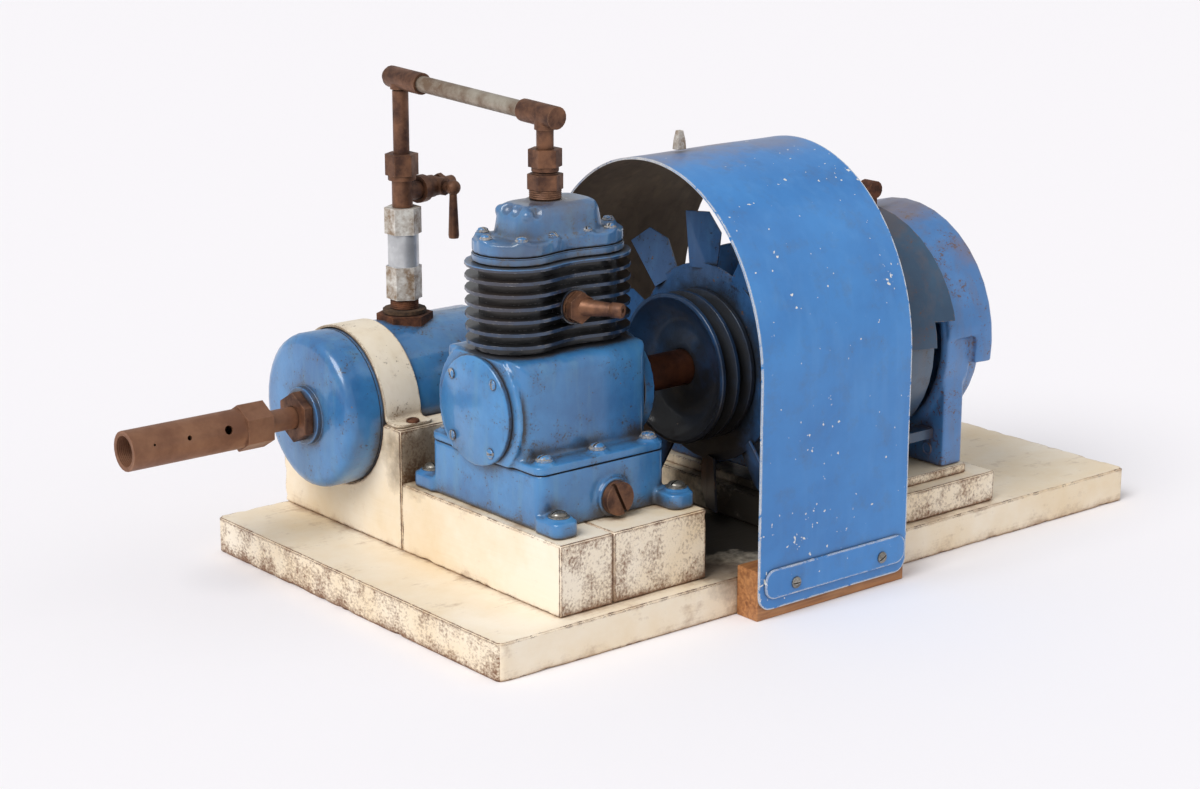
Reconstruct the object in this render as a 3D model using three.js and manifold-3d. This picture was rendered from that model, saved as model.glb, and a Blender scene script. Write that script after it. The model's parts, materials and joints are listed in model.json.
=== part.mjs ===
// Direct-coupled twin-cylinder air compressor on a painted wooden board.
// Millimetres, +Z up. Places are given from the board's lower front corner at the receiver end:
// x runs along the board towards the motor, y runs back from the front edge, z is height.
// The finished group is shifted so that its origin is the middle of the board's underside.

import * as THREE from 'three';
import { mergeVertices } from 'three/addons/utils/BufferGeometryUtils.js';
import Module from 'manifold-3d';

const wasm = await Module();
wasm.setup();

// ---------------------------------------------------------------- driving dimensions
const GAP = 0.3;                      // clearance between pieces that touch
const board = { length: 790, width: 442, thick: 34, round: 7 };
const blockTop = 98;                  // the compressor stands at this height
const crank = { y: 132, z: 191, throw: 14, pin: 8, journal: 12.5 };
const cylinders = { x: [120, 194], bore: 25, deck: 324, rodLength: 78 };
const fins = { count: 7, first: 247.5, pitch: 11.1, thick: 3, radius: 43 };
const tank = { y: 346, z: 150, radius: 72, face: 42, start: 76.3, end: 250 };
const riser = { x: 154, y: 346 };     // the vertical pipe over the tank
const headPort = { x: 154, y: 132 };
const pipe = { radius: 7.5, rearZ: 446, frontZ: 438 };
const guard = { x: 262, length: 182, y: 127, half: 156, spring: 215, rise: 175, sheet: 2 };
const fan = { x: 340, disc: 92.5, tip: 140, blades: 10 };
const motor = { radius: 105, start: 386, shellEnd: 534, bell: 548, end: 600, foot: 73.6, footSide: 104 };

// ---------------------------------------------------------------- colours and finishes
function finish(colour, roughness, metalness) {
  return new THREE.MeshStandardMaterial({ color: colour, roughness, metalness });
}

const paint = {
  blue: () => finish(0x4a82bd, 0.45, 0),
  navy: () => finish(0x1f3a5a, 0.5, 0),
  cream: () => finish(0xefe0bd, 0.6, 0),
  wood: () => finish(0xa9683a, 0.6, 0),
  copper: () => finish(0x8c5a3c, 0.5, 0.8),
  zinc: () => finish(0xb9b7ac, 0.45, 0.7),
  steel: () => finish(0x8d8f92, 0.4, 0.9),
  rust: () => finish(0x6b4630, 0.8, 0.3),
  alloy: () => finish(0xb4b7ba, 0.5, 0.8),
  iron: () => finish(0x55585c, 0.7, 0.5),
  gasket: () => finish(0x5b4636, 0.9, 0),
};

// ---------------------------------------------------------------- solids
function toSolid(geometry) {
  const bare = geometry.index ? geometry.toNonIndexed() : geometry.clone();
  bare.deleteAttribute('normal');
  bare.deleteAttribute('uv');
  const welded = mergeVertices(bare, 1e-4);
  const points = welded.attributes.position.array;
  const index = welded.index.array;
  const triangles = [];
  let volume = 0;
  for (let i = 0; i < index.length; i += 3) {
    const [a, b, c] = [index[i], index[i + 1], index[i + 2]];
    if (a === b || b === c || c === a) continue;
    triangles.push(a, b, c);
    const [u, v, w] = [a, b, c].map((k) => new THREE.Vector3().fromArray(points, 3 * k));
    volume += u.dot(v.cross(w));
  }
  if (volume < 0) triangles.reverse();
  return new wasm.Manifold(new wasm.Mesh({
    numProp: 3,
    vertProperties: new Float32Array(points),
    triVerts: new Uint32Array(triangles),
  }));
}

function toGeometry(solid) {
  const mesh = solid.getMesh();
  const geometry = new THREE.BufferGeometry();
  geometry.setAttribute('position', new THREE.BufferAttribute(mesh.vertProperties, 3));
  geometry.setIndex(new THREE.BufferAttribute(mesh.triVerts, 1));
  geometry.computeVertexNormals();
  return geometry;
}

const join = (...solids) => solids.reduce((sum, next) => sum.add(next));
const cut = (body, ...tools) => body.subtract(join(...tools));

function box(x0, x1, y0, y1, z0, z1) {
  const geometry = new THREE.BoxGeometry(x1 - x0, y1 - y0, z1 - z0);
  return toSolid(geometry.translate((x0 + x1) / 2, (y0 + y1) / 2, (z0 + z1) / 2));
}

// Turns a geometry made along +Z so that it runs along another axis, then moves it.
function aim(geometry, axis, place) {
  if (axis === 'x') geometry.rotateX(Math.PI / 2).rotateZ(Math.PI / 2);
  if (axis === 'y') geometry.rotateX(-Math.PI / 2);
  return geometry.translate(...place);
}

// Wider rounds get more sides.
function sidesFor(profile) {
  const widest = Math.max(...profile.map(([, radius]) => radius));
  const step = [[60, 40], [35, 30], [14, 22], [9, 18], [4, 14]].find(([radius]) => widest > radius);
  return step ? step[1] : 10;
}

// A solid of revolution: profile points are [distance along the axis, radius].
function turned(profile, axis, place, sides = sidesFor(profile)) {
  const points = profile.map(([along, radius]) => new THREE.Vector2(radius, along));
  const geometry = new THREE.LatheGeometry(points, sides);
  return toSolid(aim(geometry.rotateX(Math.PI / 2), axis, place));
}

function disc(axis, place, radius, from, to, sides) {
  return turned([[from, 0], [from, radius], [to, radius], [to, 0]], axis, place, sides);
}

function ring(axis, place, outer, inner, from, to, sides) {
  const profile = [[from, inner], [from, outer], [to, outer], [to, inner], [from, inner]];
  return turned(profile, axis, place, sides);
}

function prism(shape, height, axis, place, curveSegments = 3) {
  const geometry = new THREE.ExtrudeGeometry(shape, { depth: height, bevelEnabled: false, curveSegments });
  return toSolid(aim(geometry, axis, place));
}

// A hexagon prism measured across its flats.
function hexagon(axis, place, flats, from, to) {
  return disc(axis, place, flats / 2 / Math.cos(Math.PI / 6), from, to, 6);
}

function roundedRectangle(x0, x1, y0, y1, r) {
  const shape = new THREE.Shape();
  shape.moveTo(x0 + r, y0);
  shape.lineTo(x1 - r, y0);
  shape.absarc(x1 - r, y0 + r, r, -Math.PI / 2, 0);
  shape.lineTo(x1, y1 - r);
  shape.absarc(x1 - r, y1 - r, r, 0, Math.PI / 2);
  shape.lineTo(x0 + r, y1);
  shape.absarc(x0 + r, y1 - r, r, Math.PI / 2, Math.PI);
  shape.lineTo(x0, y0 + r);
  shape.absarc(x0 + r, y0 + r, r, Math.PI, 1.5 * Math.PI);
  return shape;
}

function roundedBlock(x0, x1, y0, y1, z0, z1, r) {
  return prism(roundedRectangle(x0, x1, y0, y1, r), z1 - z0, 'z', [0, 0, z0]);
}

// A stack of outlines with the same number of points each, closed at both ends.
function loft(rings) {
  const size = rings[0].length;
  const points = rings.flat();
  const index = [];
  for (let level = 0; level < rings.length - 1; level += 1) {
    for (let i = 0; i < size; i += 1) {
      const a = level * size + i;
      const b = level * size + (i + 1) % size;
      index.push(a, b, b + size, a, b + size, a + size);
    }
  }
  const last = (rings.length - 1) * size;
  for (let i = 1; i < size - 1; i += 1) {
    index.push(0, i + 1, i);
    index.push(last, last + i, last + i + 1);
  }
  const geometry = new THREE.BufferGeometry();
  const flat = points.flatMap((p) => [p.x, p.y, p.z]);
  geometry.setAttribute('position', new THREE.Float32BufferAttribute(flat, 3));
  geometry.setIndex(index);
  return toSolid(geometry);
}

// ---------------------------------------------------------------- scene graph
const compressor = new THREE.Group();
compressor.position.set(-board.length / 2, -board.width / 2, 0);

function add(name, solid, material, parent = compressor) {
  const mesh = new THREE.Mesh(toGeometry(solid), material);
  mesh.name = name;
  parent.add(mesh);
  return mesh;
}

// ---------------------------------------------------------------- board, blocks and battens
function woodenBase() {
  const { length, width, thick, round } = board;
  add('baseboard', roundedBlock(0, length, 0, width, 0, thick, round), paint.cream());

  const floor = thick + GAP;
  const saddle = disc('x', [0, tank.y, tank.z], tank.radius + 0.6, 70, 245);
  const receiverBlock = cut(box(76.6, 236, 246.4, width, floor, 147), saddle);
  add('receiver_block', receiverBlock, paint.cream());
  add('compressor_batten_left', box(76.6, 134.4, 16, 246, floor, blockTop), paint.cream());
  add('compressor_batten_right', box(134.9, 240, 16, 246, floor, blockTop), paint.cream());

  add('motor_riser', box(372, 606, 10, 252, floor, 64), paint.cream());
  add('motor_packer', box(382, 580, 24, 240, 64 + GAP, motor.foot - GAP), paint.cream());

  add('guard_batten', box(guard.x, guard.x + guard.length, -27, -GAP, 0, 46), paint.wood());
  add('guard_cleat', box(guard.x + 4, guard.x + guard.length - 4, 257, 280.6, floor, 62), paint.wood());
}

// ---------------------------------------------------------------- sheet guard over the fan
function archOutline(grow, frontFoot, backFoot) {
  const shape = new THREE.Shape();
  const half = guard.half + grow;
  shape.moveTo(guard.y - half, frontFoot);
  shape.lineTo(guard.y - half, guard.spring);
  shape.absellipse(guard.y, guard.spring, half, guard.rise + grow, Math.PI, 0, true);
  shape.lineTo(guard.y + half, backFoot);
  return shape;
}

function sheetGuard() {
  const depth = guard.length;
  const outer = prism(archOutline(0, 9.5, 9.5), depth, 'x', [guard.x, 0, 0], 20);
  const inner = prism(archOutline(-guard.sheet, -50, -50), depth + 2, 'x', [guard.x - 1, 0, 0], 20);
  const backFoot = box(guard.x - 5, guard.x + depth + 5, guard.y, guard.y + 200, -60, board.thick + 2);
  add('fan_guard', cut(outer, inner, backFoot), paint.blue());

  const face = guard.y - guard.half;
  const strip = roundedRectangle(268, 441, 19, 46, 11);
  add('guard_strip', prism(strip, 2.2, 'y', [0, face - 2.5, 0]).mirror([0, 0, 1]), paint.blue());

  const clip = loft([
    rectangleAt(308, 134, 392, 5, 4),
    rectangleAt(308, 134, 400, 4.5, 3.5),
    rectangleAt(308, 134, 409, 2.6, 2.6),
  ]);
  add('guard_clip', clip, paint.zinc());
}

function rectangleAt(x, y, z, a, b) {
  const corners = [[-a, -b], [a, -b], [a, b], [-a, b]];
  return corners.map(([u, v]) => new THREE.Vector3(x + u, y + v, z));
}

// ---------------------------------------------------------------- air receiver and its silencer
function airReceiver() {
  const { radius, face, start, end } = tank;
  const axis = [0, tank.y, tank.z];
  const wall = 4;
  const shell = turned([
    [start, radius - wall], [start, radius], [end - 22, radius], [end - 9, radius - 8],
    [end - 2, radius - 26], [end, 0], [end - wall, 0], [end - wall - 2, radius - 27],
    [end - 13, radius - 12], [end - 24, radius - wall], [start, radius - wall],
  ], 'x', axis);
  const boss = hexagon('z', [riser.x, riser.y, 0], 46, 212, 227);
  const neck = disc('z', [riser.x, riser.y, 0], 22, 200, 213);
  const bodyBore = disc('x', axis, radius - wall, start - 1, end - 30);
  const port = disc('z', [riser.x, riser.y, 0], 12.4, 190, 230);
  add('receiver_body', cut(join(shell, cut(join(boss, neck), bodyBore)), port), paint.blue());

  const pad = disc('x', [0, tank.y, tank.z - 3], 27, face - 5.5, face + 2);
  const cup = turned([
    [face, 0], [face, radius - 11], [face + 1.2, radius - 6], [face + 4, radius - 2],
    [face + 9, radius], [start - GAP, radius], [start - GAP, radius - wall],
    [face + 8, radius - wall], [face + wall, radius - 12], [face + wall, 0],
  ], 'x', axis);
  const bushHole = disc('x', [0, tank.y, tank.z - 3], 16.4, face - 10, face + 10);
  add('receiver_cap', cut(join(cup, pad), bushHole), paint.blue());
}

function receiverStrap() {
  const { y, z, radius } = tank;
  const [x0, x1] = [79, 118];
  const inner = radius + GAP;
  const outer = inner + 2.6;
  const reach = radius + 29;
  const band = ring('x', [0, y, z], outer, inner, x0, x1);
  const upper = box(x0 - 1, x1 + 1, y - 100, y + 100, 147 + GAP, 260);
  const foot = box(x0, x1, y - reach, y + reach - 8, 147 + GAP, 150);
  const throat = disc('x', [0, y, z], inner, x0 - 1, x1 + 1);
  add('receiver_strap', cut(join(band.intersect(upper), foot), throat), paint.cream());
}

function silencer() {
  const axis = [0, tank.y, tank.z - 3];
  const bush = join(hexagon('x', axis, 41, 27, 36.2), disc('x', axis, 16, 36, 52));
  add('hex_bush', cut(bush, disc('x', axis, 10.6, 20, 60)), paint.copper());

  const nipple = ring('x', axis, 10.3, 7.5, -20, 36);
  add('silencer_nipple', nipple, paint.copper());

  const tube = join(disc('x', axis, 18.3, -146, -28), hexagon('x', axis, 38, -31, -4));
  const bore = disc('x', axis, 15.4, -150, -36);
  const neckBore = disc('x', axis, 10.6, -40, 0);
  const holes = [[-50, 4.2], [-90, 2.3], [-125, 1.2]].map(([x, radius]) => (
    disc('y', [0, 0, 0], radius, -30, 0).rotate([-19, 0, 0]).translate([x, tank.y, tank.z - 3])
  ));
  add('silencer_tube', cut(tube, bore, neckBore, ...holes), paint.copper());
}

// ---------------------------------------------------------------- pipework
function valveColumn() {
  const foot = [riser.x, riser.y, 0];
  add('port_gasket', ring('z', foot, 20.5, 12.6, 227.3, 231.5, 14), paint.rust());

  const column = join(
    disc('z', foot, 12, 214, 242), hexagon('z', foot, 29, 241, 272),
    disc('z', foot, 14.5, 271.5, 303), hexagon('z', foot, 30, 302.5, 327),
  );
  const lowBore = disc('z', foot, 7, 205, 275);
  const chamber = disc('z', foot, 11.5, 274.7, 300);
  const highBore = disc('z', foot, 7.6, 299, 340);
  add('check_valve', cut(column, lowBore, chamber, highBore), paint.zinc());

  const seat = turned([[275, 0], [275, 10.5], [279, 10.5], [282, 5], [287, 5], [287, 0]], 'z', foot);
  add('check_poppet', seat, paint.steel());
}

// Moves a solid made along +X at the origin onto the cock's own axis.
function onCock(solid, z = 340) {
  return solid.rotate([0, 0, 16]).translate([riser.x, riser.y, z]);
}

function drainCock() {
  const foot = [riser.x, riser.y, 0];
  const origin = [0, 0, 0];
  const branch = onCock(disc('x', origin, 9, 0, 21));
  const body = join(disc('z', foot, 9.6, 327 + GAP, 352), branch);
  const flowBore = onCock(disc('x', origin, 5.5, 0, 30));
  add('brass_tee', cut(body, disc('z', foot, 6, 320, 360), flowBore), paint.copper());

  const barrel = join(
    disc('x', origin, 13, 21.4, 31), disc('x', origin, 10.5, 30.5, 44),
    disc('x', origin, 8.4, 43.5, 60), disc('x', origin, 10.5, 52, 58, 6),
    disc('x', origin, 6, 57, 74),
    disc('y', [48, 0, 0], 8.5, -13, 8),
  );
  const through = disc('x', origin, 3.6, 15, 80);
  const plugHole = disc('y', [48, 0, 0], 5.4, -15, 5);
  add('cock_body', onCock(cut(barrel, through, plugHole)), paint.copper());

  const ball = new THREE.SphereGeometry(7.2, 20, 12).translate(48, -22, 0);
  const lever = turned([[-48, 0], [-48, 4.6], [-45, 5.2], [-6, 3.6], [-3, 3.4], [-3, 0]], 'z', [48, -22, 0]);
  const plug = cut(disc('y', [48, 0, 0], 5, -24, 4), disc('z', [48, 0, 0], 3.2, -20, 20));
  add('cock_lever', onCock(join(toSolid(ball), lever, plug)), paint.copper());
}

// Tilts a solid with the sloping cross pipe, about the rear tee's centre.
function onCrossPipe(solid) {
  const span = riser.y - headPort.y;
  const fall = THREE.MathUtils.radToDeg(Math.atan((pipe.rearZ - pipe.frontZ) / span));
  return solid.rotate([fall, 0, 0]).translate([riser.x, riser.y, pipe.rearZ]);
}

function pipework() {
  const foot = [riser.x, riser.y, 0];
  const bore = pipe.radius - 1.2;
  const nut = join(hexagon('z', foot, 27, 357, 377), disc('z', foot, 13, 352.4, 357.5));
  add('riser_nut', cut(nut, disc('z', foot, pipe.radius + GAP, 350, 380)), paint.copper());
  add('riser_pipe', ring('z', foot, pipe.radius, bore, 352.6, 435.2), paint.copper());

  const fitting = pipe.radius + 2.5;
  const centre = [0, 0, 0];
  const rearBody = turned([
    [-35, 0], [-35, fitting], [14, fitting], [19, fitting - 3], [22, fitting - 7], [22.6, 0],
  ], 'y', centre);
  const rearSocket = disc('y', centre, pipe.radius + GAP, -40, -12);
  const rear = cut(onCrossPipe(rearBody), onCrossPipe(rearSocket));
  const rearStem = disc('z', foot, pipe.radius + 1.8, 436.4, 441);
  add('rear_tee', cut(join(rear, rearStem), disc('z', foot, 5, 430, 440)), paint.copper());

  const cross = onCrossPipe(ring('y', centre, pipe.radius, bore, -186, -13));
  add('cross_pipe', cross, paint.copper());

  const span = riser.y - headPort.y;
  const frontBody = onCrossPipe(disc('y', centre, fitting, -span - 17, -span + 29));
  const frontSocket = onCrossPipe(disc('y', centre, pipe.radius + GAP, -span + 27.4, -span + 35));
  const drop = [headPort.x, headPort.y, 0];
  const stem = disc('z', drop, pipe.radius, 391, 436);
  const collar = disc('z', drop, pipe.radius + 1.8, 426, 434);
  const passage = disc('z', drop, bore, 380, 430);
  add('front_tee', cut(join(frontBody, stem, collar), frontSocket, passage), paint.copper());

  const dropNut = join(hexagon('z', drop, 26, 394, 409.5), disc('z', drop, 12, 390, 394.5));
  add('drop_nut', cut(dropNut, disc('z', drop, pipe.radius + GAP, 380, 420)), paint.copper());

  const adapter = join(
    disc('z', drop, 12.4, 356, 375), hexagon('z', drop, 27.5, 374.5, 388), disc('z', drop, 11, 387, 389.6),
  );
  add('head_adapter', cut(adapter, disc('z', drop, 6, 350, 395)), paint.copper());
}

// ---------------------------------------------------------------- compressor castings
function sumpCasting() {
  const { y } = crank;
  const top = 147;
  const foot = blockTop + GAP;
  const body = roundedBlock(84.8, 225, y - 79, y + 79, foot, top, 9);
  const lugs = [];
  for (const [x0, x1] of [[82, 108], [212, 238]]) {
    for (const side of [-1, 1]) {
      const [a, b] = [y + side * 70, y + side * 105].sort((p, q) => p - q);
      lugs.push(roundedBlock(x0, x1, a, b, foot, 112, 8));
    }
  }
  const drain = disc('y', [163, 0, 116.4], 17.6, y - 84, y - 70);
  const cavity = roundedBlock(92, 218, y - 71, y + 71, foot + 7, top + 1, 7);
  const thread = disc('y', [163, 0, 116.4], 12.4, y - 90, y - 60);
  add('sump', cut(join(body, ...lugs, drain), cavity, thread), paint.blue());

  const head = disc('y', [163, 0, 116.4], 15, y - 91, y - 84 - GAP);
  const stub = disc('y', [163, 0, 116.4], 12, y - 85, y - 68);
  const slot = toSolid(new THREE.BoxGeometry(3.2, 8, 40).rotateY(-0.45).translate(163, y - 91, 116.4));
  add('drain_plug', cut(join(head, stub), slot), paint.copper());
}

function crankcaseCasting() {
  const { y, z } = crank;
  const axis = [0, y, z];
  const foot = 147 + GAP;
  const flange = roundedBlock(84, 225, y - 79, y + 79, foot, 155, 9);
  const planView = roundedBlock(84, 225, y - 56, y + 56, foot, 240, 12);
  const endView = prism(roundedRectangle(y - 56, y + 56, 100, 240, 13), 160, 'x', [75, 0, 0]);
  const boss = disc('x', axis, 59, 80, 84.4).intersect(box(79, 86, y - 60, y + 60, foot, 239));
  const cavity = roundedBlock(93, 216, y - 48, y + 48, foot - 1, 232, 8);
  const frontHole = disc('x', axis, 40, 70, 94);
  const backHole = disc('x', axis, 40, 215, 230);
  const throats = cylinders.x.map((x) => disc('z', [x, y, 0], cylinders.bore + 0.6, 225, 245));
  const body = join(flange, planView.intersect(endView), boss);
  add('crankcase', cut(body, cavity, frontHole, backHole, ...throats), paint.blue());

  const cover = join(
    turned([[74, 0], [74, 46.5], [75.2, 48.5], [79.7, 48.5], [79.7, 0]], 'x', axis),
    disc('x', axis, 39.6, 79, 97),
  );
  add('end_cover', cut(cover, disc('x', axis, 26.1, 81, 98)), paint.blue());
  add('front_bearing', ring('x', axis, 25.8, 12.9, 81.4, 96.5), paint.steel());

  const housing = join(
    turned([[225.4, 0], [225.4, 50], [236, 50], [238, 47], [238, 0]], 'x', axis),
    disc('x', axis, 39.6, 212, 226),
  );
  const pocket = disc('x', axis, 26.1, 210, 227);
  add('bearing_housing', cut(housing, pocket, disc('x', axis, 19, 220, 240)), paint.blue());
  add('rear_bearing', ring('x', axis, 25.8, 12.9, 212, 226.6), paint.steel());
}

// The outline shared by everything above the crankcase: two lobes with a shallow waist.
function twinOutline(radius) {
  const half = (cylinders.x[1] - cylinders.x[0]) / 2;
  const middle = (cylinders.x[0] + cylinders.x[1]) / 2;
  const open = THREE.MathUtils.degToRad(108);
  const reach = half + radius * Math.cos(open);
  const height = radius * Math.sin(open);
  const waist = height - reach / Math.tan(Math.PI - open) * 0.95;
  const shape = new THREE.Shape();
  const { y } = crank;
  shape.moveTo(middle + reach, y - height);
  shape.absarc(middle + half, y, radius, -open, open, false);
  shape.quadraticCurveTo(middle, y + waist, middle - reach, y + height);
  shape.absarc(middle - half, y, radius, Math.PI - open, Math.PI + open, false);
  shape.quadraticCurveTo(middle, y - waist, middle + reach, y - height);
  return shape;
}

function twinPlate(radius, z0, z1, segments = 6) {
  return prism(twinOutline(radius), z1 - z0, 'z', [0, 0, z0], segments);
}

function cylinderBlock() {
  const { deck, bore, x: xs } = cylinders;
  const pieces = [twinPlate(31, 240 + GAP, deck - 2), twinPlate(35, 241.4, 246), twinPlate(37, deck - 5, deck)];
  for (let i = 0; i < fins.count; i += 1) {
    const z = fins.first + i * fins.pitch;
    pieces.push(twinPlate(fins.radius, z, z + fins.thick));
  }
  const inletBoss = disc('y', [155, 0, 278], 15.5, crank.y - 39.5, crank.y - 24);
  const bores = xs.map((x) => disc('z', [x, crank.y, 0], bore, 235, 330));
  const inletHole = disc('y', [155, 0, 278], 4, crank.y - 45, crank.y - 26);
  add('cylinder_block', cut(join(...pieces, inletBoss), ...bores, inletHole), paint.navy());

  const gasketHoles = xs.map((x) => disc('z', [x, crank.y, 0], bore + 1, 320, 330));
  add('head_gasket', cut(twinPlate(36.5, deck + 0.2, deck + 1), ...gasketHoles), paint.gasket());
}

function domeOutline(a, b, z) {
  const middle = (cylinders.x[0] + cylinders.x[1]) / 2;
  const corner = 0.55 * b;
  const outline = roundedRectangle(-a, a, -b, b, corner).getPoints(5);
  const ringPoints = outline.slice(0, -1);
  return ringPoints.map((p) => new THREE.Vector3(middle + p.x, crank.y + p.y, z));
}

function cylinderHead() {
  const foot = cylinders.deck + 1.3;
  const flange = twinPlate(36.5, foot, 337);
  const dome = loft([
    domeOutline(46, 28, 336), domeOutline(44.5, 26.5, 346), domeOutline(43, 25, 357),
    domeOutline(40.5, 22.5, 362.5), domeOutline(36, 18, 365),
  ]);
  const portBoss = disc('z', [headPort.x, headPort.y, 0], 17, 360, 366.5);
  const port = disc('z', [headPort.x, headPort.y, 0], 12.8, 352, 370);
  const chamber = box(121, 193, crank.y - 18, crank.y + 18, foot - 1, 354);
  add('cylinder_head', cut(join(flange, dome, portBoss), port, chamber), paint.blue());
}

function inletNozzle() {
  const base = [155, crank.y - 39.5 - GAP, 278];
  const flange = join(disc('y', [0, 0, 0], 14, -2.5, 0), hexagon('y', [0, 0, 0], 24, -9, -2));
  const stem = turned([
    [-44, 0], [-44, 6], [-42, 6.8], [-34, 6.8], [-33, 6], [-12, 7.4], [0, 8.6], [0, 0],
  ], 'y', [0, 0, 0]).rotate([0, 0, 28]);
  const bore = disc('y', [0, 0, 0], 2.4, -50, -8).rotate([0, 0, 28]);
  const trim = box(-20, 20, 0, 20, -20, 20);
  add('inlet_nozzle', cut(join(flange, stem), bore, trim).translate(base), paint.copper());
}

// ---------------------------------------------------------------- running gear
function crankshaft() {
  const { y, z, journal, pin } = crank;
  const axis = [0, y, z];
  const pieces = [
    disc('x', axis, journal, 83, 105), disc('x', axis, journal, 135, 179),
    disc('x', axis, journal, 208, 366),
  ];
  cylinders.x.forEach((x, i) => {
    const side = i === 0 ? 1 : -1;
    pieces.push(disc('x', axis, 24, x - 16, x - 7.8), disc('x', axis, 24, x + 7.8, x + 15.5));
    pieces.push(disc('x', [0, y, z + side * crank.throw], pin, x - 8, x + 8));
  });
  add('crankshaft', join(...pieces), paint.steel());
}

function connectingRods() {
  cylinders.x.forEach((x, i) => {
    const low = crank.z + (i === 0 ? 1 : -1) * crank.throw;
    const high = low + cylinders.rodLength;
    const bigEnd = disc('x', [x, crank.y, low], 13, -6.5, 6.5);
    const smallEnd = disc('x', [x, crank.y, high], 6.5, -6, 6);
    const pinEnds = disc('x', [x, crank.y, high], 4, -9, 9);
    const shank = box(x - 4, x + 4, crank.y - 4, crank.y + 4, low + 10, high - 3);
    const bigHole = disc('x', [x, crank.y, low], crank.pin + 0.35, -8, 8);
    add(i === 0 ? 'connecting_rod_a' : 'connecting_rod_b',
      cut(join(bigEnd, smallEnd, pinEnds, shank), bigHole), paint.alloy());
  });
}

function pistons() {
  cylinders.x.forEach((x, i) => {
    const crown = 323 - (i === 0 ? 0 : 2 * crank.throw);
    const radius = cylinders.bore - 0.4;
    const skirt = crown - 50;
    const solid = turned([
      [crown, 0], [crown, radius], [crown - 5, radius], [crown - 5, radius - 1], [crown - 7, radius - 1],
      [crown - 7, radius], [skirt, radius], [skirt, 21.6], [crown - 4, 21.6], [crown - 4, 0],
    ], 'z', [x, crank.y, 0]);
    add(i === 0 ? 'piston_a' : 'piston_b', solid, paint.alloy());
  });
}

function driveLine() {
  const axis = [0, crank.y, crank.z];
  const bore = crank.journal + GAP;
  const sleeve = turned([
    [246, bore], [246, 15], [248, 16.5], [317, 16.5], [317, bore], [246, bore],
  ], 'x', axis);
  add('shaft_sleeve', sleeve, paint.rust());

  const hub = 16.5 + GAP;
  const pulley = turned([
    [299, 66], [299, 69], [300, 70], [303, 70], [308, 58], [312, 58], [316.5, 70], [320, 70],
    [325, 58], [329, 58], [333.5, 70], [338, 70], [338, 24], [336, hub], [312, hub], [312, 27],
    [315, 34], [313, 50], [303, 63], [299, 66],
  ], 'x', axis);
  const backBore = ring('x', axis, 17.4, bore, 317.3, 337.5);
  add('pulley', join(pulley, backBore), paint.navy());

  const spider = ring('x', axis, fan.disc, 40, fan.x, fan.x + 2.4);
  const hubPlate = ring('x', axis, 42, bore, fan.x - 1.4, fan.x + 5);
  const blades = [];
  for (let i = 0; i < fan.blades; i += 1) blades.push(fanBlade(15 + i * 360 / fan.blades));
  add('fan', join(spider, hubPlate, ...blades), paint.blue());

  const sleeveShape = ring('x', axis, 19, bore, 353, 367);
  const motorSide = ring('x', axis, 19, 9.5 + GAP, 366.6, 384);
  add('shaft_coupling', join(sleeveShape, motorSide), paint.steel());
}

// One flat blade with a clipped tip corner, set at an angle to the disc. It is turned from +y towards +z.
function fanBlade(degrees) {
  const shape = new THREE.Shape();
  const tip = fan.tip;
  shape.moveTo(88, -14);
  shape.lineTo(tip - 19, -19);
  shape.lineTo(tip, -7);
  shape.lineTo(tip, 17);
  shape.lineTo(88, 14.5);
  const blade = prism(shape, 2.4, 'z', [0, 0, -1.2]);
  const upright = blade.rotate([20, 0, 0]).rotate([0, -90, 0]);
  return upright.rotate([degrees - 90, 0, 0]).translate([fan.x + 1.2, crank.y, crank.z]);
}

// ---------------------------------------------------------------- electric motor
function motorShell() {
  const axis = [0, crank.y, crank.z];
  const { radius, start, shellEnd } = motor;
  add('motor_shell', ring('x', axis, radius, radius - 4, start + 24, shellEnd), paint.blue());

  const core = turned([
    [430, 53], [430, 60], [414, 62], [414, 90], [431, 92], [431, radius - 4 - GAP],
    [520, radius - 4 - GAP], [520, 92], [540, 90], [540, 62], [521, 60], [521, 53], [430, 53],
  ], 'x', axis);
  add('stator', core, paint.iron());
  add('rotor', ring('x', axis, 52, 9.5 + GAP, 434, 518), paint.iron());
  add('motor_shaft', disc('x', axis, 9.5, 367.4, 592), paint.steel());
}

// A bell with its pedestal: upright sides that meet the bell's round at its widest.
function pedestal(x0, x1) {
  const { y, z } = crank;
  const side = motor.footSide;
  const shape = new THREE.Shape();
  shape.moveTo(y - side, motor.foot);
  shape.lineTo(y + side, motor.foot);
  shape.lineTo(y + side, z);
  shape.absarc(y, z, side, 0, Math.PI, false);
  shape.lineTo(y - side, motor.foot);
  const plate = prism(shape, x1 - x0, 'x', [x0, 0, 0], 18);
  const arch = box(x0 - 1, x1 + 1, y - 40, y + 40, motor.foot - 1, motor.foot + 8);
  return cut(plate, arch);
}

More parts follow.
